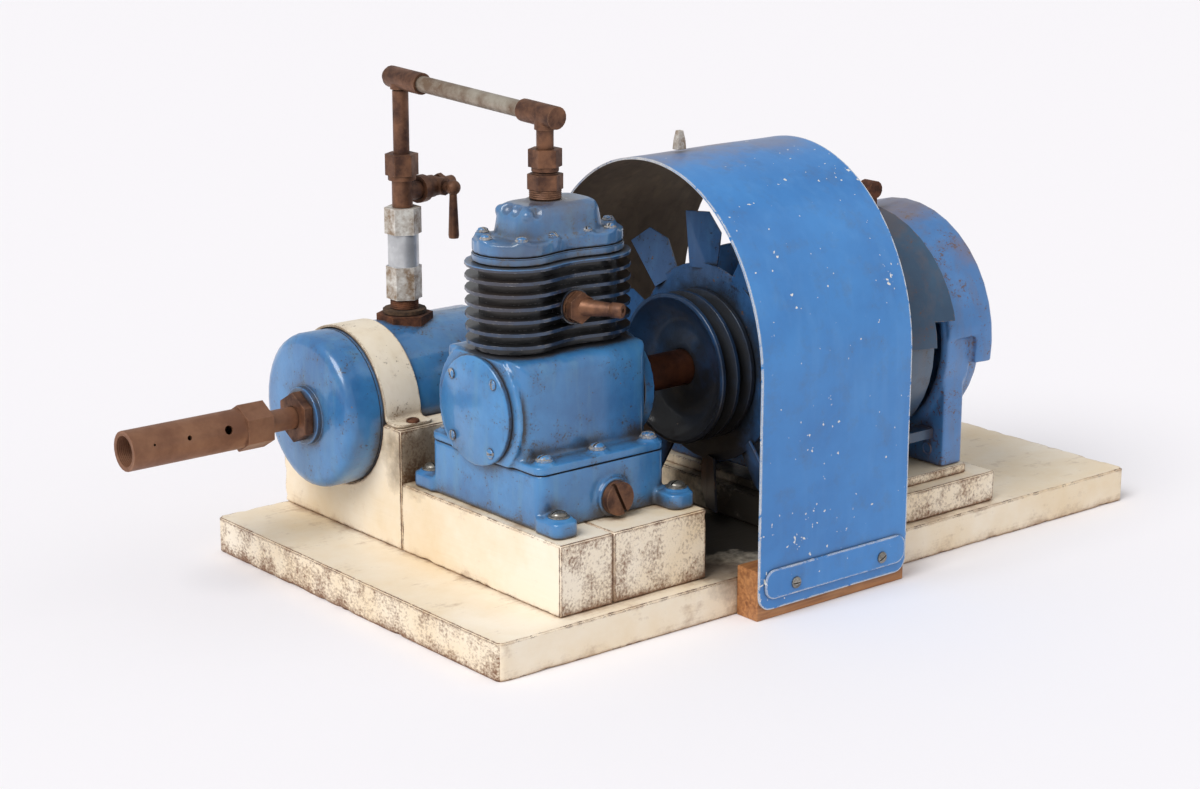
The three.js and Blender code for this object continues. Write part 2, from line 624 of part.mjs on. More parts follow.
function motorBells() {
  const axis = [0, crank.y, crank.z];
  const { radius, start, bell, end } = motor;
  const shaftHole = disc('x', axis, 9.5 + GAP, start - 10, start + 40);
  const frontDisc = turned([
    [start, 0], [start, radius - 14], [start + 6, radius - 4], [start + 23.6, radius - 1],
    [start + 23.6, 0],
  ], 'x', axis);
  const frontHollow = disc('x', axis, radius - 8, start + 8, start + 30);
  const frontHub = disc('x', axis, 20, start - 2, start + 18);
  const front = cut(join(frontDisc, pedestal(start + 2, start + 30)), frontHollow,
    disc('x', axis, radius + GAP, start + 23.8, start + 40));
  add('front_bell', cut(join(front, frontHub), shaftHole), paint.blue());

  const rim = radius - 1;
  const bellShell = turned([
    [bell, 0], [bell, rim], [end - 12, rim + 1], [end - 3, rim], [end, rim - 3], [end, 0],
  ], 'x', axis);
  const hollow = turned([
    [bell - 1, 0], [bell - 1, rim - 5], [end - 12, rim - 5], [end - 6, rim - 14], [end - 5, 0],
  ], 'x', axis);
  const hub = disc('x', axis, 20, end - 24, end - 4);
  const pocket = disc('x', axis, 9.5 + GAP, end - 30, end - 6);
  const back = cut(join(bellShell, pedestal(bell + 3, bell + 29)), hollow);
  add('rear_bell', cut(join(back, hub), pocket), paint.blue());

  const lug = join(
    disc('z', [550.6, crank.y, 0], 6, 306.8, 327),
    disc('y', [549.2, crank.y, 328], 8.6, -8, 8),
  );
  add('lifting_lug', lug, paint.rust());
}

function wedgeKeep(x0, x1, lowZ) {
  return box(x0, x1, crank.y - 160, crank.y + 160, lowZ, 400);
}

function motorCowls() {
  const axis = [0, crank.y, crank.z];
  const cone = turned([
    [500, 106.2], [500, 108.2], [544.5, 124.5], [544.5, 122.3], [500, 106.2],
  ], 'x', axis);
  const kept = join(wedgeKeep(499, 525, 197), wedgeKeep(524.9, 546, 221));
  add('air_deflector', cone.intersect(kept), paint.blue());

  const hood = turned([
    [550, 0], [550, 109.4], [590, 116.4], [600, 116.8], [604, 113.5], [604, 0],
  ], 'x', [0, 0, 0]).scale([1, 1, 1.045]).translate(axis);
  const hollow = disc('x', axis, 106.4, 549, 605);
  const hoodKeep = join(wedgeKeep(549, 582, 199), wedgeKeep(581.6, 606, 173));
  add('drip_hood', cut(hood.intersect(hoodKeep), hollow), paint.blue());

  const { y } = crank;
  const rails = [-84, 84].map((side) => box(416.6, 550.4, y + side - 8, y + side + 8, 100, 110));
  const legs = [-84, 84].map((side) => box(470, 494, y + side - 3, y + side + 3, 76, 101));
  const tie = box(470, 494, y - 86, y + 86, 76, 80);
  add('motor_cradle', join(...rails, ...legs, tie), paint.blue());
}

// ---------------------------------------------------------------- assembly
woodenBase();
sheetGuard();
airReceiver();
receiverStrap();
silencer();
valveColumn();
drainCock();
pipework();
sumpCasting();
crankcaseCasting();
cylinderBlock();
cylinderHead();
inletNozzle();
crankshaft();
connectingRods();
pistons();
driveLine();
motorShell();
motorBells();
motorCowls();

export default compressor;
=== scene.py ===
import json
import math
import random

import bmesh
import bpy
from mathutils import Matrix, Vector, noise


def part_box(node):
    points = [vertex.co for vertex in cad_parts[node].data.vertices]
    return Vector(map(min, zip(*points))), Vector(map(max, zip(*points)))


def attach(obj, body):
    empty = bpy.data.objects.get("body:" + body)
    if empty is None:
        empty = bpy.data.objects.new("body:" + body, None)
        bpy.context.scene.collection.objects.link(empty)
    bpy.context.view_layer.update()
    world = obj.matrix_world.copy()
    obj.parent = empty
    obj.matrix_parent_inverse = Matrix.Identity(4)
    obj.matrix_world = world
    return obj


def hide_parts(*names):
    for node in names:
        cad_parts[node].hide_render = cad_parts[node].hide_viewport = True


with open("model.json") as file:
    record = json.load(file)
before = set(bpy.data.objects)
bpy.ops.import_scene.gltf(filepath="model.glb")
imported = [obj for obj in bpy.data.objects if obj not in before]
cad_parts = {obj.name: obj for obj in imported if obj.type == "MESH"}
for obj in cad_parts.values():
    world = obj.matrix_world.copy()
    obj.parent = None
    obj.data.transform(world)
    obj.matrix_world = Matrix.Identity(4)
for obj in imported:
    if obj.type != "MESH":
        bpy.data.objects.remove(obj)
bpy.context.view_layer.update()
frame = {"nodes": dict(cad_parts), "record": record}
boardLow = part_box("baseboard")[0]
mm = 0.001
# the shaft's y and z and the riser's x and y, in millimetres from the board's lower front corner
shaftY, shaftZ = 132, 191
riserX, riserY = 154, 346
random.seed(11)


def at(x, y, z):
    # a place given in millimetres from the board's corner, as the part is laid out
    return Vector((boardLow.x + x * mm, boardLow.y + y * mm, z * mm))


def hexColour(text):
    # sRGB hex to the linear colour that the shader wants
    parts = [int(text[i:i + 2], 16) / 255 for i in (1, 3, 5)]
    linear = [c / 12.92 if c <= 0.04045 else ((c + 0.055) / 1.055) ** 2.4 for c in parts]
    return (*linear, 1.0)


def scaleFor(size):
    # a noise texture's scale, in whole cells to the metre, for marks this many millimetres across
    return float(round(1000 / size))


# lens and sensor in millimetres, direction in degrees, eye in millimetres from the board's corner
view = {
    "lens": 76.0, "sensor": 36.0, "azimuth": -39.35, "elevation": 15.16, "eye": (-1167.85, -1554.13, 772.2),
}
camera = bpy.data.objects.new("camera", bpy.data.cameras.new("camera"))
camera.data.lens = view["lens"]
camera.data.sensor_width = view["sensor"]
camera.data.clip_end = 60
camera.location = at(*view["eye"])
camera.rotation_euler = (math.radians(90 - view["elevation"]), 0, math.radians(view["azimuth"]))
bpy.context.scene.collection.objects.link(camera)
bpy.context.scene.camera = camera

# soft suns far off light the whole floor evenly; direction as azimuth and elevation, spread, all in degrees
lamps = [
    {"name": "keySoftbox", "azimuth": -80, "elevation": 46, "spread": 36, "strength": 2.1},
    {"name": "rightFill", "azimuth": 48, "elevation": 30, "spread": 60, "strength": 0.3},
]
for lamp in lamps:
    light = bpy.data.lights.new(lamp["name"], "SUN")
    light.energy = lamp["strength"]
    light.angle = math.radians(lamp["spread"])
    holder = bpy.data.objects.new(lamp["name"], light)
    turn, rise = math.radians(lamp["azimuth"]), math.radians(lamp["elevation"])
    away = Vector((math.sin(turn) * math.cos(rise), -math.cos(turn) * math.cos(rise), math.sin(rise)))
    holder.location = away * 3
    holder.rotation_euler = away.to_track_quat("Z", "Y").to_euler()
    bpy.context.scene.collection.objects.link(holder)

world = bpy.data.worlds.new("studio")
world.use_nodes = True
world.node_tree.nodes["Background"].inputs["Color"].default_value = hexColour("#f4f5f8")
world.node_tree.nodes["Background"].inputs["Strength"].default_value = 0.56
bpy.context.scene.world = world
bpy.context.scene.view_settings.view_transform = "Standard"


def addNode(tree, kind, inputs=None, **settings):
    # adds a shader node; a socket among the inputs is linked, anything else is its value
    node = tree.nodes.new("ShaderNode" + kind)
    for key, value in settings.items():
        setattr(node, key, value)
    for key, value in (inputs or {}).items():
        if isinstance(value, bpy.types.NodeSocket):
            tree.links.new(value, node.inputs[key])
        else:
            node.inputs[key].default_value = value
    return node


def edgeBend(tree, width):
    # how far the surface turns within this many millimetres: 1 on a flat, less beside an edge
    rounded = addNode(tree, "Bevel", {"Radius": width * mm}, samples=6)
    surface = addNode(tree, "NewGeometry")
    bend = addNode(tree, "VectorMath", {0: rounded.outputs[0], 1: surface.outputs["Normal"]},
                   operation="DOT_PRODUCT")
    return bend.outputs["Value"]


def newMaterial(name):
    material = bpy.data.materials.new(name)
    material.use_nodes = True
    material.node_tree.nodes.clear()
    return material, material.node_tree


def stainedAndShaded(tree, coords, socket, look):
    # stains of oil, rust and dust, and patches of painted shade under the fan and pulley, lie thickest near
    # one place and thin out raggedly round it
    ragged = addNode(tree, "TexNoise", {"Vector": coords, "Scale": scaleFor(29.4), "Detail": 6.0,
                                        "Roughness": 0.68})
    spill = addNode(tree, "MapRange", {"Value": ragged.outputs["Fac"], "From Min": 0.3, "From Max": 0.7,
                                       "To Min": -0.45, "To Max": 0.45})
    for place, reach, strength, tone in look["stainsAndShade"]:
        gap = addNode(tree, "VectorMath", {0: coords, 1: at(*place)}, operation="DISTANCE")
        near = addNode(tree, "MapRange", {"Value": gap.outputs["Value"], "From Min": reach * mm,
                                          "From Max": reach * 0.3 * mm, "To Min": -0.3, "To Max": 1.3},
                       clamp=False)
        patchAmount = addNode(tree, "Math", {0: near.outputs[0], 1: spill.outputs[0]}, operation="ADD")
        cover = addNode(tree, "MapRange", {"Value": patchAmount.outputs[0], "To Max": strength})
        mixed = addNode(tree, "Mix", {0: cover.outputs[0], 6: socket, 7: hexColour(tone)}, data_type="RGBA")
        socket = mixed.outputs[2]
    return socket


def paintedMetal(name, look):
    # brushed enamel over metal: gloss broken by brush marks, worn corners, dirt where a rag can't reach, and
    # painted shade in the same corners;
    # the colour clouds are as wide as a hand's pass of the brush, the streaks as wide as its corner
    material, tree = newMaterial(name)
    coords = addNode(tree, "TexCoord").outputs["Object"]
    cloud = addNode(tree, "TexNoise", {"Vector": coords, "Scale": scaleFor(71.4), "Detail": 5.0,
                                       "Roughness": 0.6})
    speck = addNode(tree, "TexNoise", {"Vector": coords, "Scale": scaleFor(look["chipSize"]), "Detail": 5.0,
                                       "Roughness": 0.72})
    stretched = addNode(tree, "Mapping", {"Vector": coords, "Scale": (1.0, 1.0, 0.16)})
    streak = addNode(tree, "TexNoise", {"Vector": stretched.outputs[0], "Scale": scaleFor(11.1),
                                        "Detail": 4.0})
    fade = addNode(tree, "MapRange", {"Value": cloud.outputs["Fac"], "From Min": 0.35, "From Max": 0.68})
    base = addNode(tree, "Mix", {0: fade.outputs[0], 6: hexColour(look["deep"]), 7: hexColour(look["fresh"])},
                   data_type="RGBA")
    streaks = addNode(tree, "MapRange", {"Value": streak.outputs["Fac"], "From Min": 0.5, "From Max": 0.8,
                                         "To Max": look["streaks"]})
    rubbed = addNode(tree, "Mix", {0: streaks.outputs[0], 6: base.outputs[2], 7: hexColour(look["rubbed"])},
                     data_type="RGBA")
    # dirt gathers in corners and spreads out from them in patches as wide as a thumb; this darkening follows
    # ambient occlusion, so it is painted shade as well as dirt
    corner = addNode(tree, "AmbientOcclusion", {"Distance": look["grimeAndShadeReach"] * mm}, samples=6)
    patchy = addNode(tree, "TexNoise", {"Vector": coords, "Scale": scaleFor(22.2), "Detail": 6.0,
                                        "Roughness": 0.7})
    shade = addNode(tree, "Math", {0: 1.0, 1: corner.outputs["AO"]}, operation="SUBTRACT")
    spread = addNode(tree, "Math", {0: shade.outputs[0], 1: patchy.outputs["Fac"]}, operation="MULTIPLY")
    grimeAndShade = addNode(tree, "MapRange", {"Value": spread.outputs[0], "From Min": 0.05, "From Max": 0.19,
                                       "To Max": look["grimeAndShade"]})
    film = addNode(tree, "MapRange", {"Value": patchy.outputs["Fac"], "From Min": 0.52, "From Max": 0.78,
                                      "To Max": look["film"]})
    dirtAndShade = addNode(tree, "Math", {0: grimeAndShade.outputs[0], 1: film.outputs[0]}, operation="MAXIMUM")
    # flecks of soot and rust: the real ones are half a millimetre, drawn coarser so that they show
    fleck = addNode(tree, "TexNoise", {"Vector": coords, "Scale": scaleFor(2.38), "Detail": 3.0,
                                       "Roughness": 0.6})
    where = addNode(tree, "Math", {0: patchy.outputs["Fac"], 1: 0.9}, operation="MULTIPLY")
    hidden = addNode(tree, "Math", {0: grimeAndShade.outputs[0], 1: 0.2}, operation="MULTIPLY")
    apart = addNode(tree, "Math", {0: where.outputs[0], 1: hidden.outputs[0]}, operation="ADD")
    both = addNode(tree, "Math", {0: fleck.outputs["Fac"], 1: apart.outputs[0]}, operation="ADD")
    flecks = addNode(tree, "MapRange", {"Value": both.outputs[0], "From Min": look["fleckFrom"],
                                        "From Max": look["fleckFrom"] + 0.05, "To Max": 0.85})
    soilAndShade = addNode(tree, "Math", {0: dirtAndShade.outputs[0], 1: flecks.outputs[0]}, operation="MAXIMUM")
    dirtyAndShaded = addNode(tree, "Mix", {0: soilAndShade.outputs[0], 6: rubbed.outputs[2], 7: hexColour(look["dirtAndShadeColour"])},
                    data_type="RGBA")
    oiledAndShaded = stainedAndShaded(tree, coords, dirtyAndShaded.outputs[2], look)
    # chips: mostly along edges, a few anywhere, with nicks half a chip's size between them
    bend = edgeBend(tree, look["edgeWidth"])
    edge = addNode(tree, "MapRange", {"Value": bend, "From Min": 0.995, "From Max": 0.90,
                                      "To Min": 0.0, "To Max": look["edgeWear"]})
    reach = addNode(tree, "Math", {0: speck.outputs["Fac"], 1: edge.outputs[0]}, operation="ADD")
    chip = addNode(tree, "MapRange", {"Value": reach.outputs[0], "From Min": look["chipFrom"],
                                      "From Max": look["chipFrom"] + 0.02})
    nick = addNode(tree, "TexNoise", {"Vector": coords, "Scale": scaleFor(5.88), "Detail": 2.0,
                                      "Roughness": 0.5})
    hold = addNode(tree, "Math", {0: cloud.outputs["Fac"], 1: 0.4}, operation="MULTIPLY")
    lift = addNode(tree, "Math", {0: nick.outputs["Fac"], 1: hold.outputs[0]}, operation="SUBTRACT")
    nicks = addNode(tree, "MapRange", {"Value": lift.outputs[0], "From Min": look["nickFrom"],
                                       "From Max": look["nickFrom"] + 0.015})
    gone = addNode(tree, "Math", {0: chip.outputs[0], 1: nicks.outputs[0]}, operation="MAXIMUM")
    bare = addNode(tree, "TexNoise", {"Vector": coords, "Scale": scaleFor(3.125), "Detail": 2.0})
    under = addNode(tree, "Mix", {0: bare.outputs["Fac"], 6: hexColour(look["chipDark"]),
                                  7: hexColour(look["chipLight"])}, data_type="RGBA")
    colour = addNode(tree, "Mix", {0: gone.outputs[0], 6: oiledAndShaded, 7: under.outputs[2]}, data_type="RGBA")
    rough = addNode(tree, "MapRange", {"Value": dirtAndShade.outputs[0], "To Min": look["roughness"],
                                       "To Max": look["roughness"] + 0.3})
    # brush marks, drawn several times coarser than bristles so that they show, and the chips' own step
    brush = addNode(tree, "TexNoise", {"Vector": coords, "Scale": scaleFor(look["brushGap"]), "Detail": 3.0,
                                       "Roughness": 0.55})
    step = addNode(tree, "Math", {0: gone.outputs[0], 1: -0.7}, operation="MULTIPLY")
    height = addNode(tree, "Math", {0: brush.outputs["Fac"], 1: step.outputs[0]}, operation="ADD")
    bump = addNode(tree, "Bump", {"Height": height.outputs[0], "Strength": look["bump"], "Distance": 0.0005})
    shader = addNode(tree, "BsdfPrincipled", {"Base Color": colour.outputs[2], "Roughness": rough.outputs[0],
                                              "Normal": bump.outputs[0], "IOR": 1.5})
    shader.inputs["Coat Weight"].default_value = look["coat"]
    shader.inputs["Coat Roughness"].default_value = look["coatRoughness"]
    addNode(tree, "OutputMaterial", {"Surface": shader.outputs[0]})
    return material


def brownMetal(name, look):
    # metal left to tarnish: a dark skin in patches, brighter on corners where it is handled, darker in
    # hollows with dirt and painted shade;
    # the fine pits are drawn coarser than real ones, which a render this size would lose
    material, tree = newMaterial(name)
    coords = addNode(tree, "TexCoord").outputs["Object"]
    cloud = addNode(tree, "TexNoise", {"Vector": coords, "Scale": scaleFor(look["patch"]), "Detail": 6.0,
                                       "Roughness": 0.65})
    fine = addNode(tree, "TexNoise", {"Vector": coords, "Scale": scaleFor(2.63), "Detail": 4.0,
                                      "Roughness": 0.7})
    spread = addNode(tree, "MapRange", {"Value": cloud.outputs["Fac"], "From Min": 0.38, "From Max": 0.64})
    skin = addNode(tree, "Mix", {0: spread.outputs[0], 6: hexColour(look["dark"]), 7: hexColour(look["mid"])},
                   data_type="RGBA")
    bend = edgeBend(tree, 0.9)
    edge = addNode(tree, "MapRange", {"Value": bend, "From Min": 0.995, "From Max": 0.9,
                                      "To Max": 0.3})
    grain = addNode(tree, "Math", {0: fine.outputs["Fac"], 1: edge.outputs[0]}, operation="ADD")
    bright = addNode(tree, "MapRange", {"Value": grain.outputs[0], "From Min": look["brightFrom"],
                                        "From Max": look["brightFrom"] + 0.18, "To Max": look["brightness"]})
    colour = addNode(tree, "Mix", {0: bright.outputs[0], 6: skin.outputs[2], 7: hexColour(look["bright"])},
                     data_type="RGBA")
    # darker brown where ambient occlusion is low: dirt and painted shade in the hollows
    corner = addNode(tree, "AmbientOcclusion", {"Distance": 6 * mm}, samples=6)
    grimeAndShade = addNode(tree, "MapRange", {"Value": corner.outputs["AO"], "From Min": 0.75, "From Max": 0.25,
                                       "To Max": 0.75})
    soiledAndShaded = addNode(tree, "Mix", {0: grimeAndShade.outputs[0], 6: colour.outputs[2], 7: hexColour("#2a1c14")},
                     data_type="RGBA")
    rough = addNode(tree, "MapRange", {"Value": cloud.outputs["Fac"], "From Min": 0.3, "From Max": 0.7,
                                       "To Min": look["roughness"] + 0.14,
                                       "To Max": look["roughness"] - 0.06})
    bump = addNode(tree, "Bump", {"Height": fine.outputs["Fac"], "Strength": look["bump"],
                                  "Distance": 0.0004})
    shader = addNode(tree, "BsdfPrincipled", {"Base Color": soiledAndShaded.outputs[2], "Roughness": rough.outputs[0],
                                              "Normal": bump.outputs[0]})
    shader.inputs["Metallic"].default_value = look["metallic"]
    addNode(tree, "OutputMaterial", {"Surface": shader.outputs[0]})
    return material


def paintedWood(name, look):
    # oil paint brushed on sawn softwood: the growth rings' ridges show through, edges are rubbed to brown;
    # smudges are as wide as a finger and crumbs of broken paint as a match's head is long
    material, tree = newMaterial(name)
    coords = addNode(tree, "TexCoord").outputs["Object"]
    along = addNode(tree, "Mapping", {"Vector": coords, "Scale": look["grain"]})
    ridges = addNode(tree, "TexNoise", {"Vector": along.outputs[0], "Scale": scaleFor(look["grainGap"]),
                                        "Detail": 4.0, "Roughness": 0.6, "Distortion": 0.3})
    cloud = addNode(tree, "TexNoise", {"Vector": coords, "Scale": scaleFor(111), "Detail": 6.0,
                                       "Roughness": 0.62})
    smudge = addNode(tree, "TexNoise", {"Vector": coords, "Scale": scaleFor(26.3), "Detail": 6.0,
                                        "Roughness": 0.7})
    crumbs = addNode(tree, "TexNoise", {"Vector": coords, "Scale": scaleFor(7.69), "Detail": 5.0,
                                        "Roughness": 0.7})
    fade = addNode(tree, "MapRange", {"Value": cloud.outputs["Fac"], "From Min": 0.35, "From Max": 0.7})
    base = addNode(tree, "Mix", {0: fade.outputs[0], 6: hexColour(look["fresh"]),
                                 7: hexColour(look["yellowed"])}, data_type="RGBA")
    bend = edgeBend(tree, look["edgeWidth"])
    edge = addNode(tree, "MapRange", {"Value": bend, "From Min": 1.0, "From Max": 0.84})
    corner = addNode(tree, "AmbientOcclusion", {"Distance": 16 * mm}, samples=6)
    shade = addNode(tree, "MapRange", {"Value": corner.outputs["AO"], "From Min": 0.95, "From Max": 0.3,
                                       "To Max": 0.3})
    # soiling follows the grain, and is thickest near edges and in corners, where the darkening follows
    # ambient occlusion and is painted shade as well as dirt
    lines = addNode(tree, "Math", {0: ridges.outputs["Fac"], 1: look["grainDirt"]}, operation="MULTIPLY")
    pull = addNode(tree, "Math", {0: edge.outputs[0], 1: look["edgeDirt"]}, operation="MULTIPLY")
    sum1 = addNode(tree, "Math", {0: smudge.outputs["Fac"], 1: lines.outputs[0]}, operation="ADD")
    sum2 = addNode(tree, "Math", {0: sum1.outputs[0], 1: pull.outputs[0]}, operation="ADD")
    sum3 = addNode(tree, "Math", {0: sum2.outputs[0], 1: shade.outputs[0]}, operation="ADD")
    soilAndShade = addNode(tree, "MapRange", {"Value": sum3.outputs[0], "From Min": look["soilAndShadeFrom"],
                                      "From Max": look["soilAndShadeFrom"] + look["soilAndShadeFade"],
                                      "To Max": look["soilAndShade"]})
    soiledAndShaded = addNode(tree, "Mix", {0: soilAndShade.outputs[0], 6: base.outputs[2], 7: hexColour(look["dirtAndShadeColour"])},
                     data_type="RGBA")
    lift = addNode(tree, "Math", {0: edge.outputs[0], 1: look["edgeChips"]}, operation="MULTIPLY")
    broken = addNode(tree, "Math", {0: crumbs.outputs["Fac"], 1: lift.outputs[0]}, operation="ADD")
    chip = addNode(tree, "MapRange", {"Value": broken.outputs[0], "From Min": look["chipFrom"],
                                      "From Max": look["chipFrom"] + 0.03})
    colour = addNode(tree, "Mix", {0: chip.outputs[0], 6: soiledAndShaded.outputs[2], 7: hexColour(look["bare"])},
                     data_type="RGBA")
    oiledAndShaded = stainedAndShaded(tree, coords, colour.outputs[2], look)
    step = addNode(tree, "Math", {0: chip.outputs[0], 1: -0.8}, operation="MULTIPLY")
    height = addNode(tree, "Math", {0: ridges.outputs["Fac"], 1: step.outputs[0]}, operation="ADD")
    bump = addNode(tree, "Bump", {"Height": height.outputs[0], "Strength": look["bump"], "Distance": 0.0008})
    shader = addNode(tree, "BsdfPrincipled", {"Base Color": oiledAndShaded, "Normal": bump.outputs[0], "IOR": 1.48})
    shader.inputs["Roughness"].default_value = look["roughness"]
    addNode(tree, "OutputMaterial", {"Surface": shader.outputs[0]})
    return material


def sawnTimber(name, look):
    # varnished softwood: dark growth lines 4 mm apart under a thin amber film, paler where it is worn
    material, tree = newMaterial(name)
    coords = addNode(tree, "TexCoord").outputs["Object"]
    along = addNode(tree, "Mapping", {"Vector": coords, "Scale": (0.06, 1.0, 1.0)})
    lines = addNode(tree, "TexNoise", {"Vector": along.outputs[0], "Scale": scaleFor(4.17), "Detail": 5.0,
                                       "Distortion": 0.6})
    cloud = addNode(tree, "TexNoise", {"Vector": coords, "Scale": scaleFor(45.5), "Detail": 4.0})
    grain = addNode(tree, "MapRange", {"Value": lines.outputs["Fac"], "From Min": 0.35, "From Max": 0.68})
    wood = addNode(tree, "Mix", {0: grain.outputs[0], 6: hexColour(look["light"]),
                                 7: hexColour(look["line"])}, data_type="RGBA")
    patchAmount = addNode(tree, "MapRange", {"Value": cloud.outputs["Fac"], "From Min": 0.5, "From Max": 0.75,
                                      "To Max": 0.5})
    colour = addNode(tree, "Mix", {0: patchAmount.outputs[0], 6: wood.outputs[2], 7: hexColour(look["pale"])},
                     data_type="RGBA")
    bump = addNode(tree, "Bump", {"Height": lines.outputs["Fac"], "Strength": 0.35, "Distance": 0.0005})
    shader = addNode(tree, "BsdfPrincipled", {"Base Color": colour.outputs[2], "Normal": bump.outputs[0],
                                              "Roughness": 0.5, "IOR": 1.5})
    addNode(tree, "OutputMaterial", {"Surface": shader.outputs[0]})
    return material


def floorPaper(name):
    # matt backdrop paper: no glint, so that only the soft shadow shows
    material, tree = newMaterial(name)
    shader = addNode(tree, "BsdfPrincipled", {"Base Color": hexColour("#f7f4f6"), "Roughness": 0.85})
    shader.inputs["Specular IOR Level"].default_value = 0.15
    addNode(tree, "OutputMaterial", {"Surface": shader.outputs[0]})
    return material


# edgeWidth, grimeAndShadeReach, chipSize, brushGap, patch and grainGap are in millimetres; the names ending
# in From are where a noise begins to show; stainsAndShade are place, reach, strength and colour, for stains
# and for patches of painted shade
# near black, for oil and for the painted shade under the fan and pulley
oilAndShade = "#14110f"
# enamel brushed on sheet steel: an even light blue with a soft sheen and small white nicks
sheetEnamelLook = {
    "deep": "#2f77ba", "fresh": "#3985c9", "rubbed": "#5f99cf", "streaks": 0.22, "grimeAndShadeReach": 16,
    "grimeAndShade": 0.5, "film": 0.16, "dirtAndShadeColour": "#56595c", "fleckFrom": 1.235, "nickFrom": 0.538,
    "edgeWidth": 3.2, "edgeWear": 0.3, "chipSize": 8.33, "chipFrom": 0.705, "stainsAndShade": [],
    "chipDark": "#c9c6bd", "chipLight": "#f4f2ea", "roughness": 0.36, "brushGap": 2.38, "bump": 0.1,
    "coat": 0.25, "coatRoughness": 0.22,
}
# the same outside the guard, with a brown haze of dust over its crown
guardLookOutside = {
    **sheetEnamelLook, "film": 0.3,
    "stainsAndShade": [((300, 190, 400), 125, 0.62, "#8a7464"), ((400, 150, 405), 80, 0.4, "#8a7464")],
}
# enamel brushed thickly on sand-cast iron: glossy blue over soft lumps, brown-black grime and painted shade
# in corners
castingEnamelLook = {
    **sheetEnamelLook, "deep": "#2f689d", "fresh": "#4387bf", "rubbed": "#6796a8", "streaks": 0.35,
    "grimeAndShadeReach": 16, "grimeAndShade": 0.94, "film": 0.42, "dirtAndShadeColour": "#3d3630", "fleckFrom": 1.13,
    "nickFrom": 0.6, "edgeWidth": 2.0, "edgeWear": 0.16, "chipSize": 6.67, "chipFrom": 0.74,
    "chipDark": "#4b2f20", "chipLight": "#8b7a6a", "brushGap": 5, "bump": 0.45, "roughness": 0.3,
    "coat": 0.7, "coatRoughness": 0.12,
}
# the same on the hot head: dulled by a film of oil, browner round the adapter
headEnamelLook = {
    **castingEnamelLook, "film": 0.62, "dirtAndShadeColour": "#4e4b48", "deep": "#3a6896", "fresh": "#5382b0",
    "stainsAndShade": [((154, 132, 366), 46, 0.62, "#5a4a3e"), ((104, 95, 340), 36, 0.4, "#4b3f38")],
}
# soot and oil over enamelled cast fins: nearly black, blue only where they are rubbed; the black in the
# corners between fins is painted shade as well as soot
finEnamelLook = {
    **castingEnamelLook, "deep": "#0f2238", "fresh": "#1b3a5c", "rubbed": "#3c6288", "film": 0.5,
    "grimeAndShade": 0.97, "dirtAndShadeColour": "#131212", "edgeWear": 0.19, "edgeWidth": 1.6, "chipDark": "#50433a",
    "chipLight": "#8d8f92", "stainsAndShade": [((80, 110, 300), 52, 0.5, "#43352c")],
}
# enamel on a turned iron pulley, made blue-black by dark enamel and painted shade: little shine, and near
# black below the shaft with oil and painted shade
wheelEnamelLook = {
    **castingEnamelLook, "deep": "#142840", "fresh": "#24456b", "rubbed": "#3f5f80", "film": 0.55,
    "grimeAndShade": 0.95, "dirtAndShadeColour": "#111317", "bump": 0.2, "grimeAndShadeReach": 26, "coat": 0.25, "roughness": 0.42,
    "stainsAndShade": [((290, 112, 128), 130, 0.94, oilAndShade)],
}
# enamel on the motor's cast bells: blue breaking down into brown stains and flecks
motorEnamelLook = {
    **sheetEnamelLook, "deep": "#3c70a8", "fresh": "#4d84bf", "rubbed": "#6d5a4c", "streaks": 0.4,
    "film": 0.42, "dirtAndShadeColour": "#5a4031", "chipDark": "#5b3a25", "chipLight": "#9a7a5c", "edgeWear": 0.2,
    "fleckFrom": 1.09, "nickFrom": 0.6, "coat": 0.4, "bump": 0.2, "edgeWidth": 1.8, "chipFrom": 0.72,
    "stainsAndShade": [((575, 128, 312), 60, 0.62, "#77604f"), ((600, 60, 262), 34, 0.5, "#7a5a44")],
}
# thin enamel on the motor's rolled shell: a dull grey-blue under a brown film
shellEnamelLook = {
    **motorEnamelLook, "deep": "#33485e", "fresh": "#4a5f74", "film": 0.75, "dirtAndShadeColour": "#3f3128",
}
# enamel on pressed fan blades: deep blue, black low down with dust, oil and painted shade
fanEnamelLook = {
    **sheetEnamelLook, "deep": "#28517f", "fresh": "#35649a", "film": 0.45, "grimeAndShade": 0.95,
    "dirtAndShadeColour": "#16191d", "edgeWear": 0.14, "grimeAndShadeReach": 34, "fleckFrom": 1.12, "chipDark": "#3f2a1e",
    "chipLight": "#6a5444", "stainsAndShade": [((330, 130, 95), 105, 0.95, oilAndShade)],
}
# enamel on pressed steel beside the shell, painted dark as shade: a painted shadow with some blue in it
cowlPaintedShadeLook = {
    **motorEnamelLook, "deep": "#26405a", "fresh": "#34546f", "film": 0.45, "fleckFrom": 1.15,
    "stainsAndShade": [((530, 110, 305), 50, 0.45, "#5d4a3c")],
}
# primed sheet steel: a matt brown with no shine
bareInsideLook = {
    **sheetEnamelLook, "deep": "#5c4b3c", "fresh": "#766451", "rubbed": "#8a7761", "streaks": 0.5,
    "film": 0.5, "dirtAndShadeColour": "#332a22", "chipDark": "#4a3b2e", "chipLight": "#6d5a45", "roughness": 0.62,
    "coat": 0.0, "edgeWear": 0.1,
}
# cream paint brushed on steel strip: chalky, yellowed, brown at the edges
strapLook = {
    **sheetEnamelLook, "deep": "#ecdcc0", "fresh": "#f8ecd8", "rubbed": "#cbb08a", "streaks": 0.3,
    "grimeAndShade": 0.75, "film": 0.2, "dirtAndShadeColour": "#7a5c3d", "chipDark": "#6b4a30", "chipLight": "#a88a62",
    "roughness": 0.42, "edgeWear": 0.24, "bump": 0.2, "fleckFrom": 1.14, "nickFrom": 0.6,
}
